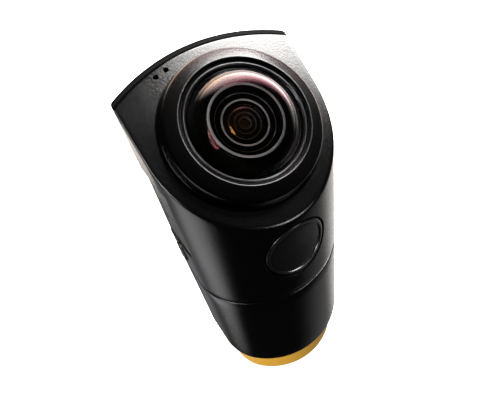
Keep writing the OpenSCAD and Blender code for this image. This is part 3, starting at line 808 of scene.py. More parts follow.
@dataclass
class UpperHousing:
    """The front shell with its slanted face, and the back cover behind it."""

    plan: BodyPlan
    side: SidePlaces
    lip: Tuple[Point2, ...] = ((0.55, 0.0), (0.3, 0.04), (0.12, 0.16), (0.03, 0.34), (0.0, 0.5))
    edge: float = 0.5
    edge_rise: float = 1.2
    edge_count: int = 5
    parting: float = 0.75
    parting_corner: float = 0.12
    cover_t: float = 0.65
    cover_corner: float = 0.02
    cover_drop: float = 0.12
    cover_bevel: float = 0.2
    cover_bevel_from: float = 40.0
    opening_r: float = 13.4
    button_z: float = 51.4
    button_hole_r: float = 7.5
    button_hole_y: float = -8.0
    button_flare: Tuple[Point2, ...] = ((0.4, 0.0), (0.14, 0.05), (0.03, 0.16), (-0.3, 0.5))
    mic_centre: Point2 = (-8.27, 12.23)
    mic_pitch: float = 2.5
    mic_skew: float = 10.2
    mic_drill: Tuple[Point2, ...] = ((0.48, -3.2), (0.48, -0.08), (0.53, -0.01), (0.6, 0.1))
    recess_length: float = 40.0
    recess_corner: float = 1.0
    recess_flare: float = 0.1
    skin: float = 0.02
    window_y: Point2 = (1.8, 7.5)
    window_trim: Point2 = (0.6, 1.0)
    window_depth: float = 3.4
    ports_x: float = -12.5
    ports: Tuple[Tuple[Point2, Point2], ...] = (
        ((1.85, 53.85), (5.25, 63.15)), ((5.75, 50.95), (7.45, 61.85)))
    bay_depth: Point2 = (1.2, 4.4)
    bay_reach: Point2 = (1.8, 0.3)
    bay_over: float = 0.4
    key_hole_x: float = -14.0
    key_flare: Tuple[Point2, ...] = ((0.12, 0.0), (-0.06, 0.14))
    outside: float = 30.0

    def _wall_rings(self, ruler: WallRuler, inner: WallRuler, foot_z: float, count: int) -> List[Ring]:
        """Returns rings from a foot up to the face and round its edge.

        Args:
            ruler: Lines of the wall.
            inner: Lines of the wall set in by the edge's round.
            foot_z: Height of the lowest ring.
            count: Number of rings up the wall.

        Returns:
            The rings in metres, the last of them on the face.
        """
        rings: List[Ring] = [[] for _ in range(count + self.edge_count + 1)]
        for i in range(ruler.count()):
            crest = ruler.top(i)
            start = ruler.at(i, crest.z - self.edge * self.edge_rise)
            end = inner.top(i)
            for k in range(count):
                z = foot_z + (start.z - foot_z) * k / count
                rings[k].append(ruler.at(i, z) * MM)
            for k, point in enumerate(curve_through(start, crest, end, self.edge_count)):
                rings[count + k].append(point * MM)
        return rings

    def _face_ring(self, outer: Ring, r: float, h: float, share: float = 1.0) -> Ring:
        """Returns points part of the way from a ring on the face to a circle about the lens axis."""
        back = Matrix.Rotation(math.radians(-self.plan.face_tilt), 3, "X")
        ring = []
        for point in outer:
            local = back @ (point / MM - Vector((0, 0, self.plan.face_z)))
            angle = math.atan2(local.y, local.x)
            circle = self.plan.to_world(r * math.cos(angle), r * math.sin(angle), h)
            ring.append(point.lerp(circle, share))
        return ring

    def shell(self) -> bpy.types.Object:
        """Builds the front shell as one hollow moulding, with its lens opening."""
        plan = self.plan
        options = {"back_inset": self.parting, "corner": self.parting_corner}
        ruler = WallRuler(plan, 0.0, **options)
        inner_edge = WallRuler(plan, self.edge, **options)
        lining = WallRuler(plan, plan.wall, **options)
        foot = plan.level(plan.seam_z, self.lip[0][0], **options)
        stack = RingStack("front_shell_moulding", foot)
        for inset, rise in self.lip[1:-1]:
            stack.step(plan.level(plan.seam_z + rise, inset, **options))
        rings = self._wall_rings(ruler, inner_edge, plan.seam_z + self.lip[-1][1], 26)
        stack.steps(rings)
        face = rings[-1]
        for share in (0.08, 0.9, 1.0):
            stack.step(self._face_ring(face, self.opening_r, 0.0, share))
        stack.step(self._face_ring(face, self.opening_r, -plan.wall))
        roof = [lining.top(i, plan.wall) * MM for i in range(lining.count())]
        stack.step(roof)
        for k in range(1, 9):
            stack.step([lining.at(i, roof[i].z / MM + (plan.seam_z - roof[i].z / MM) * k / 8) * MM
                        for i in range(lining.count())])
        stack.step(foot)
        return stack.done()

    def button_cutter(self) -> bpy.types.Object:
        """Returns a plug for the button hole, flared where it meets the front wall."""
        plan, r = self.plan, self.button_hole_r
        on_wall = [plan.front_disc(r + extra, self.button_z, sunk) for sunk, extra in self.button_flare]
        inside = [Vector((p.x, self.button_hole_y * MM, p.z)) for p in on_wall[0]]
        outside = [Vector((p.x, -self.outside * MM, p.z)) for p in on_wall[-1]]
        return loft("button_cutter", [inside, *on_wall, outside])

    def mic_cutters(self) -> List[bpy.types.Object]:
        """Returns the two drills of the microphone holes, square to the face and flared at it."""
        plan = self.plan
        cutters = []
        skew = math.radians(self.mic_skew)
        for sign in (-1, 1):
            across = self.mic_centre[0] + sign * self.mic_pitch / 2 * math.cos(skew)
            back = self.mic_centre[1] + sign * self.mic_pitch / 2 * math.sin(skew)
            along = back / math.cos(math.radians(plan.face_tilt))
            rings = [[plan.to_world(across + r * math.cos(a), along + r * math.sin(a), h)
                      for a in full_turn(36)] for r, h in self.mic_drill]
            cutters.append(loft("mic_cutter", rings))
        return cutters

    def recess_cutter(self) -> bpy.types.Object:
        """Returns the block that cuts the long recess over the left back corner."""
        side, plan = self.side, self.plan
        flare, skin = self.recess_flare, self.skin
        outline = soft_rect(self.recess_length, side.recess_h, self.recess_corner)
        middle_y = side.recess_front + self.recess_length / 2
        floor_x = plan.left_x(side.middle, side.recess_sunk)

        def ring(x_at: Callable[[float], float], extra: float) -> Ring:
            """Returns the outline on a surface, grown by an amount."""
            points = []
            for y, z in outline:
                grown_y = y + math.copysign(extra, y)
                grown_z = z + math.copysign(extra, z) + side.middle
                points.append(Vector((x_at(grown_z), middle_y + grown_y, grown_z)) * MM)
            return points

        return loft("recess_cutter", [
            ring(lambda z: floor_x, 0.0),
            ring(lambda z: min(plan.left_x(z, flare), floor_x - skin), 0.0),
            ring(lambda z: plan.left_x(z, -skin), flare),
            ring(lambda z: -self.outside, flare)])

    def flap_cutters(self) -> List[bpy.types.Object]:
        """Returns the cutters of the pocket, the hinge's room, the window and the ports behind the flap."""
        side, out = self.side, -self.outside
        wall_x = self.plan.left_x(side.middle)
        low, high = side.recess_z + side.trim, side.recess_z + side.recess_h - side.trim
        sill = side.recess_z + self.window_trim[0]
        head = side.recess_z + side.recess_h - self.window_trim[1]
        floor_x = wall_x + side.recess_sunk + side.flap_t + side.play
        hinge_x = wall_x + side.hinge_sunk
        far_y = side.hinge_y + side.flap_w + side.play
        return [
            slab("pocket_cutter", (out, side.hinge_y, low), (floor_x, far_y, high)),
            upright_rod("barrel_cutter", hinge_x, side.hinge_y, (low, high), side.barrel_r + side.play),
            slab("swing_cutter", (out, side.hinge_y - side.swing_room, low), (hinge_x, side.hinge_y, high)),
            slab("window_cutter", (out, self.window_y[0], sill),
                 (wall_x + self.window_depth, self.window_y[1], head)),
            *(slab("port_cutter", (out, *least), (self.ports_x, *most)) for least, most in self.ports),
        ]

    def port_bay(self) -> bpy.types.Object:
        """Returns the block of wall behind the flap that holds the two ports."""
        side = self.side
        wall_x = self.plan.left_x(side.middle)
        (near, far), (front, back) = self.bay_depth, self.bay_reach
        return slab("port_bay", (wall_x + near, side.hinge_y - front, side.recess_z - self.bay_over),
                    (wall_x + far, side.hinge_y + side.flap_w + back,
                     side.recess_z + side.recess_h + self.bay_over))

    def key_cutter(self) -> bpy.types.Object:
        """Returns the plug of the key's hole, flared where it meets the wall."""
        side = self.side
        wall_x = self.plan.left_x(side.key_z)
        places = [(self.key_hole_x, 0.0), *((wall_x + x, extra) for x, extra in self.key_flare),
                  (-self.outside, self.key_flare[-1][1])]
        return loft("key_cutter", [side.key_ring(x, side.key_gap + extra) for x, extra in places])

    def cover(self) -> bpy.types.Object:
        """Builds the back cover, a slab swept along the back arc from corner to corner."""
        plan = self.plan
        first = plan.front_count + plan.side_count + plan.straight_count
        outer = WallRuler(plan, 0.0)
        inner = WallRuler(plan, 0.0, back_inset=self.cover_t, corner=self.cover_corner)
        lips = [plan.level(plan.seam_z + rise, inset) for inset, rise in self.lip]
        shares = [k / 6 for k in range(1, 7)]

        def section(i: int) -> Ring:
            """Returns the slab's upright section at one line of the wall."""
            top, inner_top = outer.top(i, self.cover_drop).z, inner.top(i, self.cover_drop).z
            foot = plan.seam_z + self.lip[-1][1]
            up = [ring[i] for ring in lips]
            up += [outer.at(i, foot + (top - foot) * t) * MM for t in shares]
            down = [inner.at(i, plan.seam_z + (inner_top - plan.seam_z) * t) * MM for t in reversed(shares)]
            return up + down + [inner.at(i, plan.seam_z) * MM]

        path = range(first, outer.count() - first + 1)
        piece = loft("back_cover_moulding", [section(i) for i in path])
        apply_modifier(piece, "BEVEL", width=self.cover_bevel * MM, segments=3, limit_method="ANGLE",
                       angle_limit=math.radians(self.cover_bevel_from))
        return piece

    def build(self, finishes: Finishes) -> None:
        """Builds and dresses the housing."""
        shell = self.shell()
        combine(shell, [self.port_bay()], Join.UNITE)
        combine(shell, [self.button_cutter(), *self.mic_cutters(), self.recess_cutter(), *self.flap_cutters(),
                        self.key_cutter()])
        settle(smooth(shell), finishes.body, Body.CAMERA, Slot.BLACK, "front_shell")
        cover = self.cover()
        combine(cover, [self.recess_cutter()])
        settle(smooth(cover), finishes.cover, Body.CAMERA, Slot.BLACK, "back_cover")


@dataclass
class SidePieces:
    """The key and the port flap on the left wall."""

    plan: BodyPlan
    side: SidePlaces
    key_profile: Tuple[Point2, ...] = (
        (-2.9, 0.7), (-2.3, 0.7), (-2.3, 0.0), (0.02, 0.0), (0.17, -0.04), (0.27, -0.13), (0.32, -0.28),
        (0.345, -0.5), (0.35, -0.8))
    key_crease: float = 40.0
    flap_edge: float = 0.18
    flap_corner: float = 0.7
    flap_crease: float = 16.0
    groove_from_edge: float = 1.3
    groove_half: float = 3.6
    groove_r: float = 1.3
    groove_out: float = 0.95

    def key(self) -> bpy.types.Object:
        """Builds the key, a rounded bar with a flange behind the wall."""
        wall_x = self.plan.left_x(self.side.key_z)
        rings = [self.side.key_ring(wall_x - out, extra) for out, extra in self.key_profile]
        return loft("side_key", rings, self.key_crease)

    def flap(self) -> bpy.types.Object:
        """Builds the flap: a plate with round edges, its hinge barrel and a groove for a nail."""
        side = self.side
        wall_x = self.plan.left_x(side.middle)
        outer_x, inner_x = wall_x + side.recess_sunk, wall_x + side.recess_sunk + side.flap_t
        middle_y = side.hinge_y + side.flap_w / 2
        edge, soft = self.flap_edge, 0.3 * self.flap_edge

        def ring(x: float, inset: float) -> Ring:
            """Returns the plate's outline at a place across it."""
            outline = soft_rect(side.flap_w - 2 * inset, side.flap_h - 2 * inset, self.flap_corner - inset)
            return [Vector((x, middle_y + y, side.middle + z)) * MM for y, z in outline]

        levels = [(inner_x, edge), (inner_x - soft, soft), (inner_x - edge, 0.0), (outer_x + edge, 0.0),
                  (outer_x + soft, soft), (outer_x, edge)]
        plate = loft("port_flap_plate", [ring(*level) for level in levels])
        hinge_x = wall_x + side.hinge_sunk
        ends = (side.middle - side.flap_h / 2, side.middle + side.flap_h / 2)
        combine(plate, [upright_rod("barrel", hinge_x, side.hinge_y, ends, side.barrel_r, 48)], Join.UNITE)
        bore = upright_rod("bore", hinge_x, side.hinge_y, (ends[0] - 1, ends[1] + 1), side.pin_r, 32)
        combine(plate, [bore, self.nail_groove(outer_x)])
        return smooth(plate, self.flap_crease)

    def nail_groove(self, outer_x: float) -> bpy.types.Object:
        """Returns a spindle that cuts the nail groove near the flap's free edge."""
        side = self.side
        x, y = outer_x - self.groove_out, side.hinge_y + side.flap_w - self.groove_from_edge
        rings = []
        for k in range(13):
            t = -1 + k / 6
            r, z = self.groove_r * math.sqrt(max(1 - t**4, 0.02)), side.middle + self.groove_half * t
            rings.append([Vector((x + r * math.cos(a), y + r * math.sin(a), z)) * MM for a in full_turn(40)])
        return loft("nail_groove", rings)

    def build(self, finishes: Finishes) -> None:
        """Builds and dresses the key and the flap."""
        settle(self.key(), finishes.satin, Body.KEY, Slot.BLACK, "power_key")
        settle(self.flap(), finishes.body, Body.FLAP, Slot.BLACK, "port_flap")


@dataclass
class Handle:
    """The lower sleeve and the golden base under it."""

    plan: BodyPlan
    seam_gap: float = 0.4
    sleeve_round: float = 3.2
    top_round: float = 0.3
    base_inset: float = 1.7
    base_round: float = 1.0
    insert_r: float = 5.0
    insert_h: float = 6.6
    insert_bevel: float = 0.15
    insert_cap_r: float = 0.4
    socket_r: float = 3.175
    socket_depth: float = 5.6
    core_inset: float = 0.15
    lead_in: Point2 = (0.35, 0.5)
    screw_x: float = 11.6
    screw_y: float = -1.0
    screw_profile: Tuple[Point2, ...] = (
        (1.1, 13.0), (1.1, 2.2), (2.0, 2.2), (2.0, 1.15), (1.9, 0.95), (1.6, 0.83), (1.2, 0.8))
    cross_arms: Tuple[Point2, ...] = ((1.15, 0.24), (0.24, 1.15))
    cross_depth: float = 1.6
    sink_r: float = 2.2
    sink_h: float = 2.2
    mouth_depth: float = 6.0
    thread_pitch: float = 1.27
    thread_turns: float = 3.6
    thread_start: float = 0.4
    thread_reach: Point2 = (0.4, 0.35)
    thread_half: Point2 = (0.55, 0.08)

    def _round_foot(self, z: float, inset: float, r: float, count: int) -> List[Ring]:
        """Returns rings round a lower edge, from its flat underside up to the wall."""
        rings = []
        for i in range(count + 1):
            a = math.pi / 2 * i / count
            rings.append(self.plan.level(z + r * (1 - math.cos(a)), inset + r * (1 - math.sin(a))))
        return rings

    def sleeve(self) -> bpy.types.Object:
        """Builds the sleeve, round at the bottom, as a solid with a shallow mouth in its top."""
        plan = self.plan
        top, low = plan.seam_z - self.seam_gap, plan.base_h + self.sleeve_round
        rings = self._round_foot(plan.base_h, 0.0, self.sleeve_round, 14)
        rings += [plan.level(low + (top - self.top_round - low) * k / 8) for k in range(1, 9)]
        for turn in (math.radians(a) for a in (30, 60, 90)):
            drop, inset = self.top_round * (1 - math.sin(turn)), self.top_round * (1 - math.cos(turn))
            rings.append(plan.level(top - drop, inset))
        rings += [plan.level(top, plan.wall), plan.level(top - self.mouth_depth, plan.wall)]
        return loft("sleeve_moulding", rings)

    def base(self) -> bpy.types.Object:
        """Builds the base with the bores for the tripod insert and the screws."""
        plan = self.plan
        rings = self._round_foot(0.0, self.base_inset, self.base_round, 8)
        rings += [plan.level(plan.base_h * share, self.base_inset) for share in (0.6, 1.0)]
        piece = loft("base_moulding", rings)
        bores = [upright_rod("insert_bore", 0.0, 0.0, (-1.0, self.insert_h), self.insert_r, 96)]
        for sign in (-1, 1):
            x, ends = sign * self.screw_x, (-1.0, self.sink_h)
            bores.append(upright_rod("screw_sink", x, self.screw_y, ends, self.sink_r, 64))
        combine(piece, bores)
        return smooth(piece)

    def insert(self) -> bpy.types.Object:
        """Builds the metal insert with its screw thread."""
        bevel, core_r = self.insert_bevel, self.socket_r - self.core_inset
        outside = ((self.insert_r, bevel), (self.insert_r, self.insert_h), (self.insert_cap_r, self.insert_h))
        inside = ((self.insert_r - bevel, 0.0), (self.socket_r + self.lead_in[0], 0.0),
                  (core_r, self.lead_in[1]), (core_r, self.socket_depth))
        rings = [self._circle(r, z) for r, z in outside]
        stack = RingStack("tripod_bush", rings[0]).steps(rings[1:]).fill().restart()
        piece = stack.steps(self._circle(r, z) for r, z in inside).fill().done()
        combine(piece, [self.thread_cutter()])
        return smooth(piece)

    @staticmethod
    def _circle(r: float, z: float, count: int = 96) -> Ring:
        """Returns a level circle about the socket axis."""
        return [Vector((r * math.cos(a), r * math.sin(a), z)) * MM for a in full_turn(count)]

    def thread_cutter(self) -> bpy.types.Object:
        """Returns a helical ridge that cuts the thread into the insert's bore."""
        pitch, steps, turns = self.thread_pitch, 48, self.thread_turns
        inner, outer = self.socket_r - self.thread_reach[0], self.socket_r + self.thread_reach[1]
        root, crest = self.thread_half
        rings = []
        for i in range(int(turns * steps) + 1):
            a = 2 * math.pi * i / steps
            z = self.thread_start + pitch * i / steps
            section = ((inner, z - root), (outer, z - crest), (outer, z + crest), (inner, z + root))
            rings.append([Vector((r * math.cos(a), r * math.sin(a), h)) * MM for r, h in section])
        return loft("thread_cutter", rings)

    def screw(self, sign: int) -> bpy.types.Object:
        """Builds one base screw with a cross in its head."""
        x, y = sign * self.screw_x, self.screw_y
        rings = [[Vector((x, y, 0)) * MM + point for point in self._circle(r, z, 48)]
                 for r, z in self.screw_profile]
        piece = loft("base_screw", rings)
        combine(piece, [slab("cross_arm", (x - dx, y - dy, 0.0), (x + dx, y + dy, self.cross_depth))
                        for dx, dy in self.cross_arms])
        return smooth(piece)

    def build(self, finishes: Finishes) -> None:
        """Builds and dresses the handle."""
        settle(self.sleeve(), finishes.body, Body.CAMERA, Slot.BLACK, "lower_sleeve")
        settle(self.base(), finishes.gold, Body.CAMERA, Slot.GOLD, "base_cap")
        settle(self.insert(), finishes.brass, Body.CAMERA, Slot.STEEL, "tripod_insert")
        screws = [self.screw(sign) for sign in (-1, 1)]
        deselect_all()
        for screw in screws:
            screw.select_set(True)
        bpy.context.view_layer.objects.active = screws[0]
        bpy.ops.object.join()
        screws[0].name = "base_screw_pair"
        settle(screws[0], finishes.steel, Body.CAMERA, Slot.STEEL, "base_screws")


@dataclass
class ShutterButton:
    """The round dished button on the front: a flat rim, a fine groove and a satin dish."""

    plan: BodyPlan
    z: float = 51.4
    r: float = 7.2
    back_y: float = -9.8
    flange: float = 0.7
    rim: Tuple[Point2, ...] = (
        (0.9, 0.0), (0.4, 0.0), (0.24, 0.04), (0.14, 0.12), (0.1, 0.24), (0.1, 0.5), (0.12, 0.72),
        (0.18, 0.8), (0.3, 0.84), (0.4, 0.88), (0.43, 0.96), (0.4, 1.04))
    dish: Tuple[Point2, ...] = ((0.37, 1.3), (0.4, 2.2), (0.45, 3.6), (0.5, 5.2))
    middle: float = 0.52
    crease: float = 40.0

    def build(self, finishes: Finishes) -> None:
        """Builds and dresses the button."""
        plan = self.plan
        edge = plan.front_disc(self.r, self.z, 0.0)
        wide = plan.front_disc(self.r + self.flange, self.z, 0.0)
        flange_y = self.back_y - self.flange
        backs = [[Vector((p.x, y * MM, p.z)) for p in ring]
                 for ring, y in ((wide, self.back_y), (wide, flange_y), (edge, flange_y))]
        stack = RingStack("button_cap", backs[0]).steps(backs[1:])
        stack.steps(plan.front_disc(self.r - inset, self.z, sunk) for sunk, inset in self.rim + self.dish)
        stack.pole(Vector((0.0, plan.front_y(0.0, self.z) + self.middle, self.z)) * MM)
        piece = stack.restart().fill().done(self.crease)
        settle(piece, finishes.satin, Body.BUTTON, Slot.SATIN, "shutter_button")


@dataclass(frozen=True)
class InnerGlass:
    """Sizes of one glass behind the dome; its hollow is the radius of the edge and of the sphere."""

    name: str
    node: str
    r: float
    sphere_r: float
    seat: float
    edge: float
    hollow: Optional[Point2] = None


@dataclass
class Lens:
    """The bezel, rings and glasses on the slanted face."""

    plan: BodyPlan
    dome_r: float = 10.8
    dome_sphere_r: float = 12.8
    dome_edge_h: float = 3.6
    dome_back_h: float = 2.0
    dome_t: float = 1.0
    glass_crease: float = 50.0
    inner_glasses: Tuple[InnerGlass, ...] = (
        InnerGlass("second_glass", "second_element", 4.0, 4.8, 1.65, 0.9, (3.6, 5.6)),
        InnerGlass("third_glass", "third_element", 4.1, 7.0, -3.2, 0.9),
        InnerGlass("rear_glass", "rear_element", 3.5, 6.0, -7.2, 1.8),
    )
    bright_bands: Tuple[Tuple[Point2, Point2], ...] = (
        ((6.66, 4.0), (7.11, 4.4)), ((4.22, 2.7), (4.58, 3.05)))
    faint_bands: Tuple[Tuple[Point2, Point2], ...] = (
        ((2.5, 1.9), (2.74, 2.1)), ((1.65, 2.15), (1.87, 2.35)), ((0.85, 2.2), (1.07, 2.45)),
        ((5.6, 3.0), (5.72, 3.3)))
    bezel_profile: Profile = (
        (11.75, -1.0, 0.0), (11.75, 4.05, 0.1), (12.35, 4.6, 0.25), (15.2, 3.35, 0.7), (15.55, 0.5, 0.3),
        (16.2, 0.0, 0.02), (13.3, 0.0, 0.0), (13.3, -3.4, 0.2), (9.5, -3.4, 0.2), (9.5, -1.0, 0.0))
    ring_profile: Profile = (
        (10.95, 2.9, 0.0), (11.65, 2.9, 0.0), (11.65, 4.0, 0.1), (11.3, 4.2, 0.08), (10.95, 3.8, 0.05))
    barrel_profile: Profile = (
        (11.65, 2.0, 0.0), (11.65, -1.0, 0.0), (9.4, -1.0, 0.0), (9.4, -7.0, 0.2), (4.9, -7.0, 0.0),
        (4.9, -9.6, 0.1), (2.6, -9.6, 0.0), (2.6, -7.2, 0.0), (3.55, -7.2, 0.0), (3.55, -4.5, 0.0),
        (3.2, -4.5, 0.0), (3.2, -3.9, 0.0), (4.15, -3.9, 0.0), (4.15, -3.6, 0.0), (3.6, -3.6, 0.0),
        (3.6, -3.2, 0.0), (4.15, -3.2, 0.0), (4.15, -0.6, 0.0), (0.85, 1.6, 0.0), (0.85, 2.25, 0.05),
        (1.05, 2.4, 0.05), (1.55, 2.12, 0.0), (1.65, 2.2, 0.05), (1.85, 2.3, 0.05), (2.4, 1.83, 0.0),
        (2.5, 1.95, 0.05), (2.72, 2.05, 0.05), (2.9, 1.7, 0.0), (3.8, 1.55, 0.0), (4.02, 1.6, 0.0),
        (4.05, 2.7, 0.05), (4.2, 2.95, 0.08), (4.6, 3.0, 0.08), (4.75, 2.8, 0.0), (4.9, 2.6, 0.0),
        (5.6, 3.0, 0.0), (5.7, 3.2, 0.03), (5.85, 3.15, 0.0), (6.4, 3.6, 0.0), (6.52, 4.05, 0.05),
        (6.7, 4.28, 0.08), (7.08, 4.3, 0.08), (7.25, 4.05, 0.05), (7.4, 3.7, 0.0), (10.3, 2.1, 0.1))
    barrel_crease: float = 25.0
    stop_profile: Profile = (
        (1.2, -3.82, 0.0), (1.3, -3.9, 0.0), (4.1, -3.9, 0.0), (4.1, -3.6, 0.0), (1.5, -3.6, 0.1))

    def lathe(self, name: str, profile: Profile, count: int, angle: float = CREASE) -> bpy.types.Object:
        """Turns a closed profile about the lens axis.

        Args:
            name: Name of the piece.
            profile: Corners as (radius, height, length cut off at the corner).
            count: Segments in each round.
            angle: Crease angle in degrees.

        Returns:
            The piece.
        """
        rings = [self.plan.lens_ring(r, h) for r, h in rounded_path(profile, count)]
        return RingStack(name, rings[0]).steps(rings[1:]).step(rings[0]).done(angle)

    def glass(self, name: str, front: Sequence[Point2], front_pole: float, back: Sequence[Point2],
              back_pole: float) -> bpy.types.Object:
        """Turns a glass from its edge to the poles of its two faces.

        Args:
            name: Name of the glass.
            front: Front points as (radius, height), from the edge inwards.
            front_pole: Height of the front's middle.
            back: Back points, from the edge inwards.
            back_pole: Height of the back's middle.

        Returns:
            The glass.
        """
        ring = self.plan.lens_ring
        stack = RingStack(name, ring(*front[0])).steps(ring(*p) for p in front[1:])
        stack.pole(self.plan.to_world(0, 0, front_pole))
        stack.restart().steps(ring(*p) for p in back).pole(self.plan.to_world(0, 0, back_pole))
        return stack.done(self.glass_crease)

    def band(self, piece: bpy.types.Object, finish: bpy.types.Material, low: Point2, high: Point2) -> None:
        """Gives one band of a turned piece a finish of its own.

        Args:
            piece: The turned piece.
            finish: The band's finish.
            low: Least radius and height of the faces' middles.
            high: Greatest radius and height.
        """
        piece.data.materials.append(finish)
        level = Matrix.Rotation(math.radians(-self.plan.face_tilt), 3, "X")
        for face in piece.data.polygons:
            local = level @ (face.center / MM - Vector((0, 0, self.plan.face_z)))
            if low[0] < local.xy.length < high[0] and low[1] < local.z < high[1]:
                face.material_index = len(piece.data.materials) - 1

    def build(self, finishes: Finishes) -> None:
        """Builds and dresses the lens."""
        bezel = self.lathe("bezel_ring", self.bezel_profile, 6)
        settle(bezel, finishes.bezel, Body.CAMERA, Slot.BLACK, "lens_bezel")
        ring = self.lathe("bright_ring", self.ring_profile, 4)
        settle(ring, finishes.ring, Body.CAMERA, Slot.DARK_METAL, "retaining_ring")
        front = arc_heights(self.dome_sphere_r, self.dome_r, self.dome_edge_h, 28)
        centre = cap_centre(self.dome_sphere_r, self.dome_r, self.dome_edge_h)
        crown, inner_r = centre + self.dome_sphere_r, self.dome_sphere_r - self.dome_t
        mouth_r = math.sqrt(inner_r**2 - (self.dome_back_h - centre) ** 2)
        hollow = arc_heights(inner_r, mouth_r, self.dome_back_h, 28)
        dome = self.glass("dome", front, crown, [(self.dome_r, self.dome_back_h), *hollow], centre + inner_r)
        settle(dome, finishes.dome, Body.CAMERA, Slot.GLASS, "front_element")
        self.inside(finishes)

    def inside(self, finishes: Finishes) -> None:
        """Builds and dresses the barrel, the stop and the glasses behind the dome."""
        barrel = self.lathe("ridged_barrel", self.barrel_profile, 3, self.barrel_crease)
        settle(barrel, finishes.barrel, Body.CAMERA, Slot.DARK_METAL, "lens_barrel")
        for bands, finish in ((self.bright_bands, finishes.edge), (self.faint_bands, finishes.faint)):
            for low, high in bands:
                self.band(barrel, finish, low, high)
        stop = self.lathe("stop_plate", self.stop_profile, 3)
        settle(stop, finishes.inner, Body.CAMERA, Slot.DARK_METAL, "aperture_stop")
        for sizes, finish in zip(self.inner_glasses, (finishes.second, finishes.third, finishes.inner_glass)):
            r, sphere_r, seat, top = sizes.r, sizes.sphere_r, sizes.seat, sizes.seat + sizes.edge
            front = arc_heights(sphere_r, r, top, 20)
            back: List[Point2] = [(r, seat)]
            back_pole = seat
            if sizes.hollow:
                hollow_r, hollow_sphere_r = sizes.hollow
                back += arc_heights(hollow_sphere_r, hollow_r, seat, 12)
                back_pole = cap_centre(hollow_sphere_r, hollow_r, seat) + hollow_sphere_r
            glass = self.glass(sizes.name, front, cap_centre(sphere_r, r, top) + sphere_r, back, back_pole)
            settle(glass, finish, Body.CAMERA, Slot.GLASS, sizes.node)


class Insides:
    """Solids that are right as they are and only need a finish."""

    def build(self, finishes: Finishes) -> None:
        """Dresses every node that no other piece replaces."""
        plan = {
            finishes.inner: ["chassis", "side_switch", "tact_switch"],
            finishes.steel: ["board_screws", "button_screws", "flap_pin", "shield_can", "usb_port",
                             "card_slot", "microphones", "heat_spreader"],
            finishes.barrel: ["lens_holder"],
            finishes.rubber: ["seam_seal", "flap_seal", "button_gasket", "lens_seal", "mic_gasket"],
            finishes.board: ["main_board", "button_board", "sensor_board"],
            finishes.film: ["sensor_flex", "antenna"],
            finishes.wrap: ["battery"],
            finishes.sensor: ["image_sensor"],
            finishes.inner_glass: ["ir_filter"],
        }
        for material, names in plan.items():
            for name in names:
                dress(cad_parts[name], material)


# Stage


@dataclass(frozen=True)
class SoftLight:
    """A large soft studio light."""

    name: str
    place: Place
    size: Point2
    watts: float
    colour: Colour = (1.0, 1.0, 1.0)
    flagged: Tuple[str, ...] = ()
    along: Optional[Place] = None
    aim: Place = (0.0, 0.0, 0.07)

    def _turn(self) -> Matrix:
        """Returns the light's rotation: its face to the aim, its long side level or along a direction."""
        back = (Vector(self.place) - Vector(self.aim)).normalized()
        side = Vector(self.along) if self.along else Vector((0, 0, 1)).cross(back)
        side = (side - back * side.dot(back)).normalized()
        return Matrix((side, back.cross(side), back)).transposed()

    def hang(self) -> None:
        """Adds the light to the scene, kept off the flagged pieces."""
        data = bpy.data.lights.new(self.name, "AREA")
        data.shape = "RECTANGLE"
        data.size, data.size_y = self.size
        data.energy = self.watts
        data.color = self.colour
        lamp = bpy.data.objects.new(self.name, data)
        lamp.location = self.place
        lamp.rotation_euler = self._turn().to_euler()
        bpy.context.scene.collection.objects.link(lamp)
        if self.flagged:
            shaded = bpy.data.collections.new(self.name + "_flagged")
            for name in self.flagged:
                shaded.objects.link(bpy.data.objects[name])
            for member in shaded.collection_objects:
                member.light_linking.link_state = "EXCLUDE"
            lamp.light_linking.receiver_collection = shaded


@dataclass(frozen=True)
class Glow:
    """A soft patch of light in the surroundings."""

    towards: Place
    edge: Point2
    colour: Colour


@dataclass(frozen=True)
class PhotoCamera:
    """The photograph's point of view."""

    place: Place = (-28.003, -58.899, 114.383)
    right: Place = (0.8291, -0.53383, -0.16617)
    down: Place = (-0.47047, -0.50557, -0.72323)
    forward: Place = (0.30207, 0.67781, -0.67032)
    lens: float = 28.59
    sensor: float = 36.0
    near: float = 5.0

    def set_up(self) -> None:
        """Adds the camera and makes it the scene's own."""
        data = bpy.data.cameras.new("photo_camera")
        data.lens = self.lens
        data.sensor_width = self.sensor
        data.clip_start = self.near * MM
        camera = bpy.data.objects.new("photo_camera", data)
        turn = Matrix((self.right, [-v for v in self.down], [-v for v in self.forward])).transposed()
        camera.matrix_world = Matrix.Translation(Vector(self.place) * MM) @ turn.to_4x4()
        bpy.context.scene.collection.objects.link(camera)
        bpy.context.scene.camera = camera


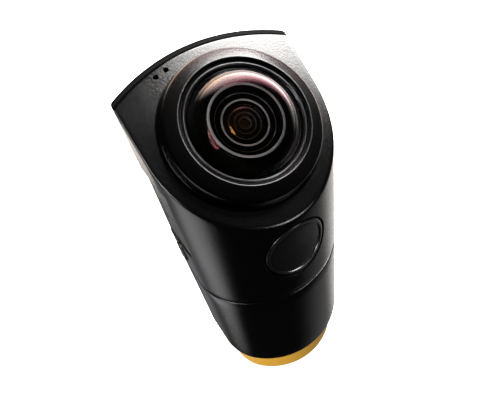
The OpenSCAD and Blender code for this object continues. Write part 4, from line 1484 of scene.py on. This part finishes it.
@dataclass(frozen=True)
class Studio:
    """Floor, lights and surroundings."""

    floor_size: float = 3.0
    base_glow: float = 0.012
    seen_glow: float = 0.9
    glows: Tuple[Glow, ...] = (
        Glow((0.72, 0.5, -0.48), (0.75, 0.96), (1.15, 1.09, 1.06)),
        Glow((-0.13, 0.82, -0.56), (0.82, 0.97), (0.25, 0.25, 0.26)),
        Glow((-0.75, 0.2, -0.63), (0.89, 1.0), (1.8, 1.8, 1.84)),
        Glow((0.56, 0.02, -0.83), (0.82, 1.0), (0.28, 0.27, 0.27)),
        Glow((0.0, -0.35, 0.93), (0.6, 0.95), (0.05, 0.05, 0.05)),
        Glow((0.08, 0.93, 0.34), (0.93, 0.99), (3.0, 1.3, 0.3)),
    )
    backdrop: Place = (0.46, 0.88, 0.1)
    backdrop_edge: Point2 = (0.55, 0.8)
    sweep_towards: Place = (0.38, -0.73, 0.568)
    sweep_span: Point2 = (-0.4, 0.3)
    fade_towards: Place = (1.0, 0.0, 0.0)
    sweep_fade: Point2 = (1.3, 0.5)
    sweep_strength: float = 5.0
    sweep: Tuple[Tuple[float, Colour], ...] = (
        (0.0, (0.66, 0.58, 0.5)), (0.2, (0.85, 0.7, 0.62)), (0.45, (1.0, 0.72, 0.7)),
        (0.65, (0.85, 0.46, 0.48)), (0.85, (0.4, 0.14, 0.2)), (1.0, (0.0, 0.0, 0.0)))
    lights: Tuple[SoftLight, ...] = (
        SoftLight("strip_over_right", (0.285, 0.04, 0.478), (0.4, 0.32), 14.5, (1.0, 0.98, 0.96),
                  (*GLASSES, "ridged_barrel", "base_moulding")),
        SoftLight("strip_from_left", (-0.493, -0.119, 0.301), (0.34, 0.09), 3.7, flagged=("bezel_ring",),
                  along=(-0.04, 0.76, 0.64)),
        SoftLight("low_from_front", (0.2, -0.6, 0.12), (0.2, 0.2), 1.5, flagged=(*GLASSES, "bezel_ring")),
    )

    def surroundings(self) -> bpy.types.World:
        """Returns a dark studio with soft patches of light about the camera body, pale where it is seen."""
        world = bpy.data.worlds.new("surroundings")
        world.use_nodes = True
        tree = world.node_tree
        background = tree.nodes["Background"]
        place = tree.nodes.new("ShaderNodeTexCoord").outputs["Generated"]

        def facing(towards: Sequence[float]) -> bpy.types.NodeSocket:
            """Returns how far the looked-at place lies towards a direction."""
            dot = tree.nodes.new("ShaderNodeVectorMath")
            dot.operation = "DOT_PRODUCT"
            dot.inputs[1].default_value = towards
            tree.links.new(place, dot.inputs[0])
            return dot.outputs["Value"]

        def ramp(value: bpy.types.NodeSocket, span: Point2, kind: str) -> bpy.types.NodeSocket:
            """Returns a value's way along a span, from 0 to 1."""
            node = tree.nodes.new("ShaderNodeMapRange")
            node.interpolation_type = kind
            node.inputs["From Min"].default_value, node.inputs["From Max"].default_value = span
            tree.links.new(value, node.inputs["Value"])
            return node.outputs["Result"]

        def vector(operation: str, first: object, second: object) -> bpy.types.NodeSocket:
            """Adds or scales a colour; each side is a socket or a value."""
            node = tree.nodes.new("ShaderNodeVectorMath")
            node.operation = operation
            feed(tree, node.inputs[0], first)
            feed(tree, node.inputs["Scale" if operation == "SCALE" else 1], second)
            return node.outputs["Vector"]

        colours = tree.nodes.new("ShaderNodeValToRGB")
        stops = colours.color_ramp.elements
        stops.remove(stops[1])
        stops[0].color = (*self.sweep[0][1], 1)
        for at, colour in self.sweep[1:]:
            stops.new(at).color = (*colour, 1)
        tree.links.new(ramp(facing(self.sweep_towards), self.sweep_span, "LINEAR"), colours.inputs["Fac"])
        share = ramp(facing(self.backdrop), self.backdrop_edge, "SMOOTHSTEP")
        total = vector("SCALE", vector("SCALE", colours.outputs["Color"], self.sweep_strength), share)
        total = vector("SCALE", total, ramp(facing(self.fade_towards), self.sweep_fade, "LINEAR"))
        total = vector("ADD", total, (self.base_glow,) * 3)
        for glow in self.glows:
            share = ramp(facing(glow.towards), glow.edge, "SMOOTHSTEP")
            total = vector("ADD", total, vector("SCALE", glow.colour, share))
        tree.links.new(total, background.inputs["Color"])
        pale = tree.nodes.new("ShaderNodeBackground")
        pale.inputs["Color"].default_value = (1, 1, 1, 1)
        pale.inputs["Strength"].default_value = self.seen_glow
        choice = tree.nodes.new("ShaderNodeMixShader")
        tree.links.new(tree.nodes.new("ShaderNodeLightPath").outputs["Is Camera Ray"], choice.inputs["Fac"])
        tree.links.new(background.outputs["Background"], choice.inputs[1])
        tree.links.new(pale.outputs["Background"], choice.inputs[2])
        tree.links.new(choice.outputs["Shader"], tree.nodes["World Output"].inputs["Surface"])
        return world

    def build(self) -> None:
        """Builds the stage."""
        deselect_all()
        bpy.ops.mesh.primitive_plane_add(size=self.floor_size)
        floor = bpy.context.object
        floor.name = "floor"
        floor.visible_glossy = False
        floor.visible_diffuse = False
        floor.visible_transmission = False
        dress(floor, FloorPaper().make())
        bpy.context.scene.world = self.surroundings()
        bpy.context.scene.view_settings.view_transform = "Standard"
        for light in self.lights:
            light.hang()


def main() -> None:
    """Builds the camera and its stage, piece by piece."""
    logging.basicConfig(level=logging.INFO, format="%(name)s: %(message)s")
    plan = BodyPlan()
    side = SidePlaces()
    finishes = Finishes()
    PhotoCamera().set_up()
    for part in (UpperHousing(plan, side), SidePieces(plan, side), Handle(plan), ShutterButton(plan),
                 Lens(plan), Insides()):
        LOG.info("building %s", type(part).__name__)
        part.build(finishes)
    Studio().build()
    deselect_all()


if __name__ == "__main__":
    main()
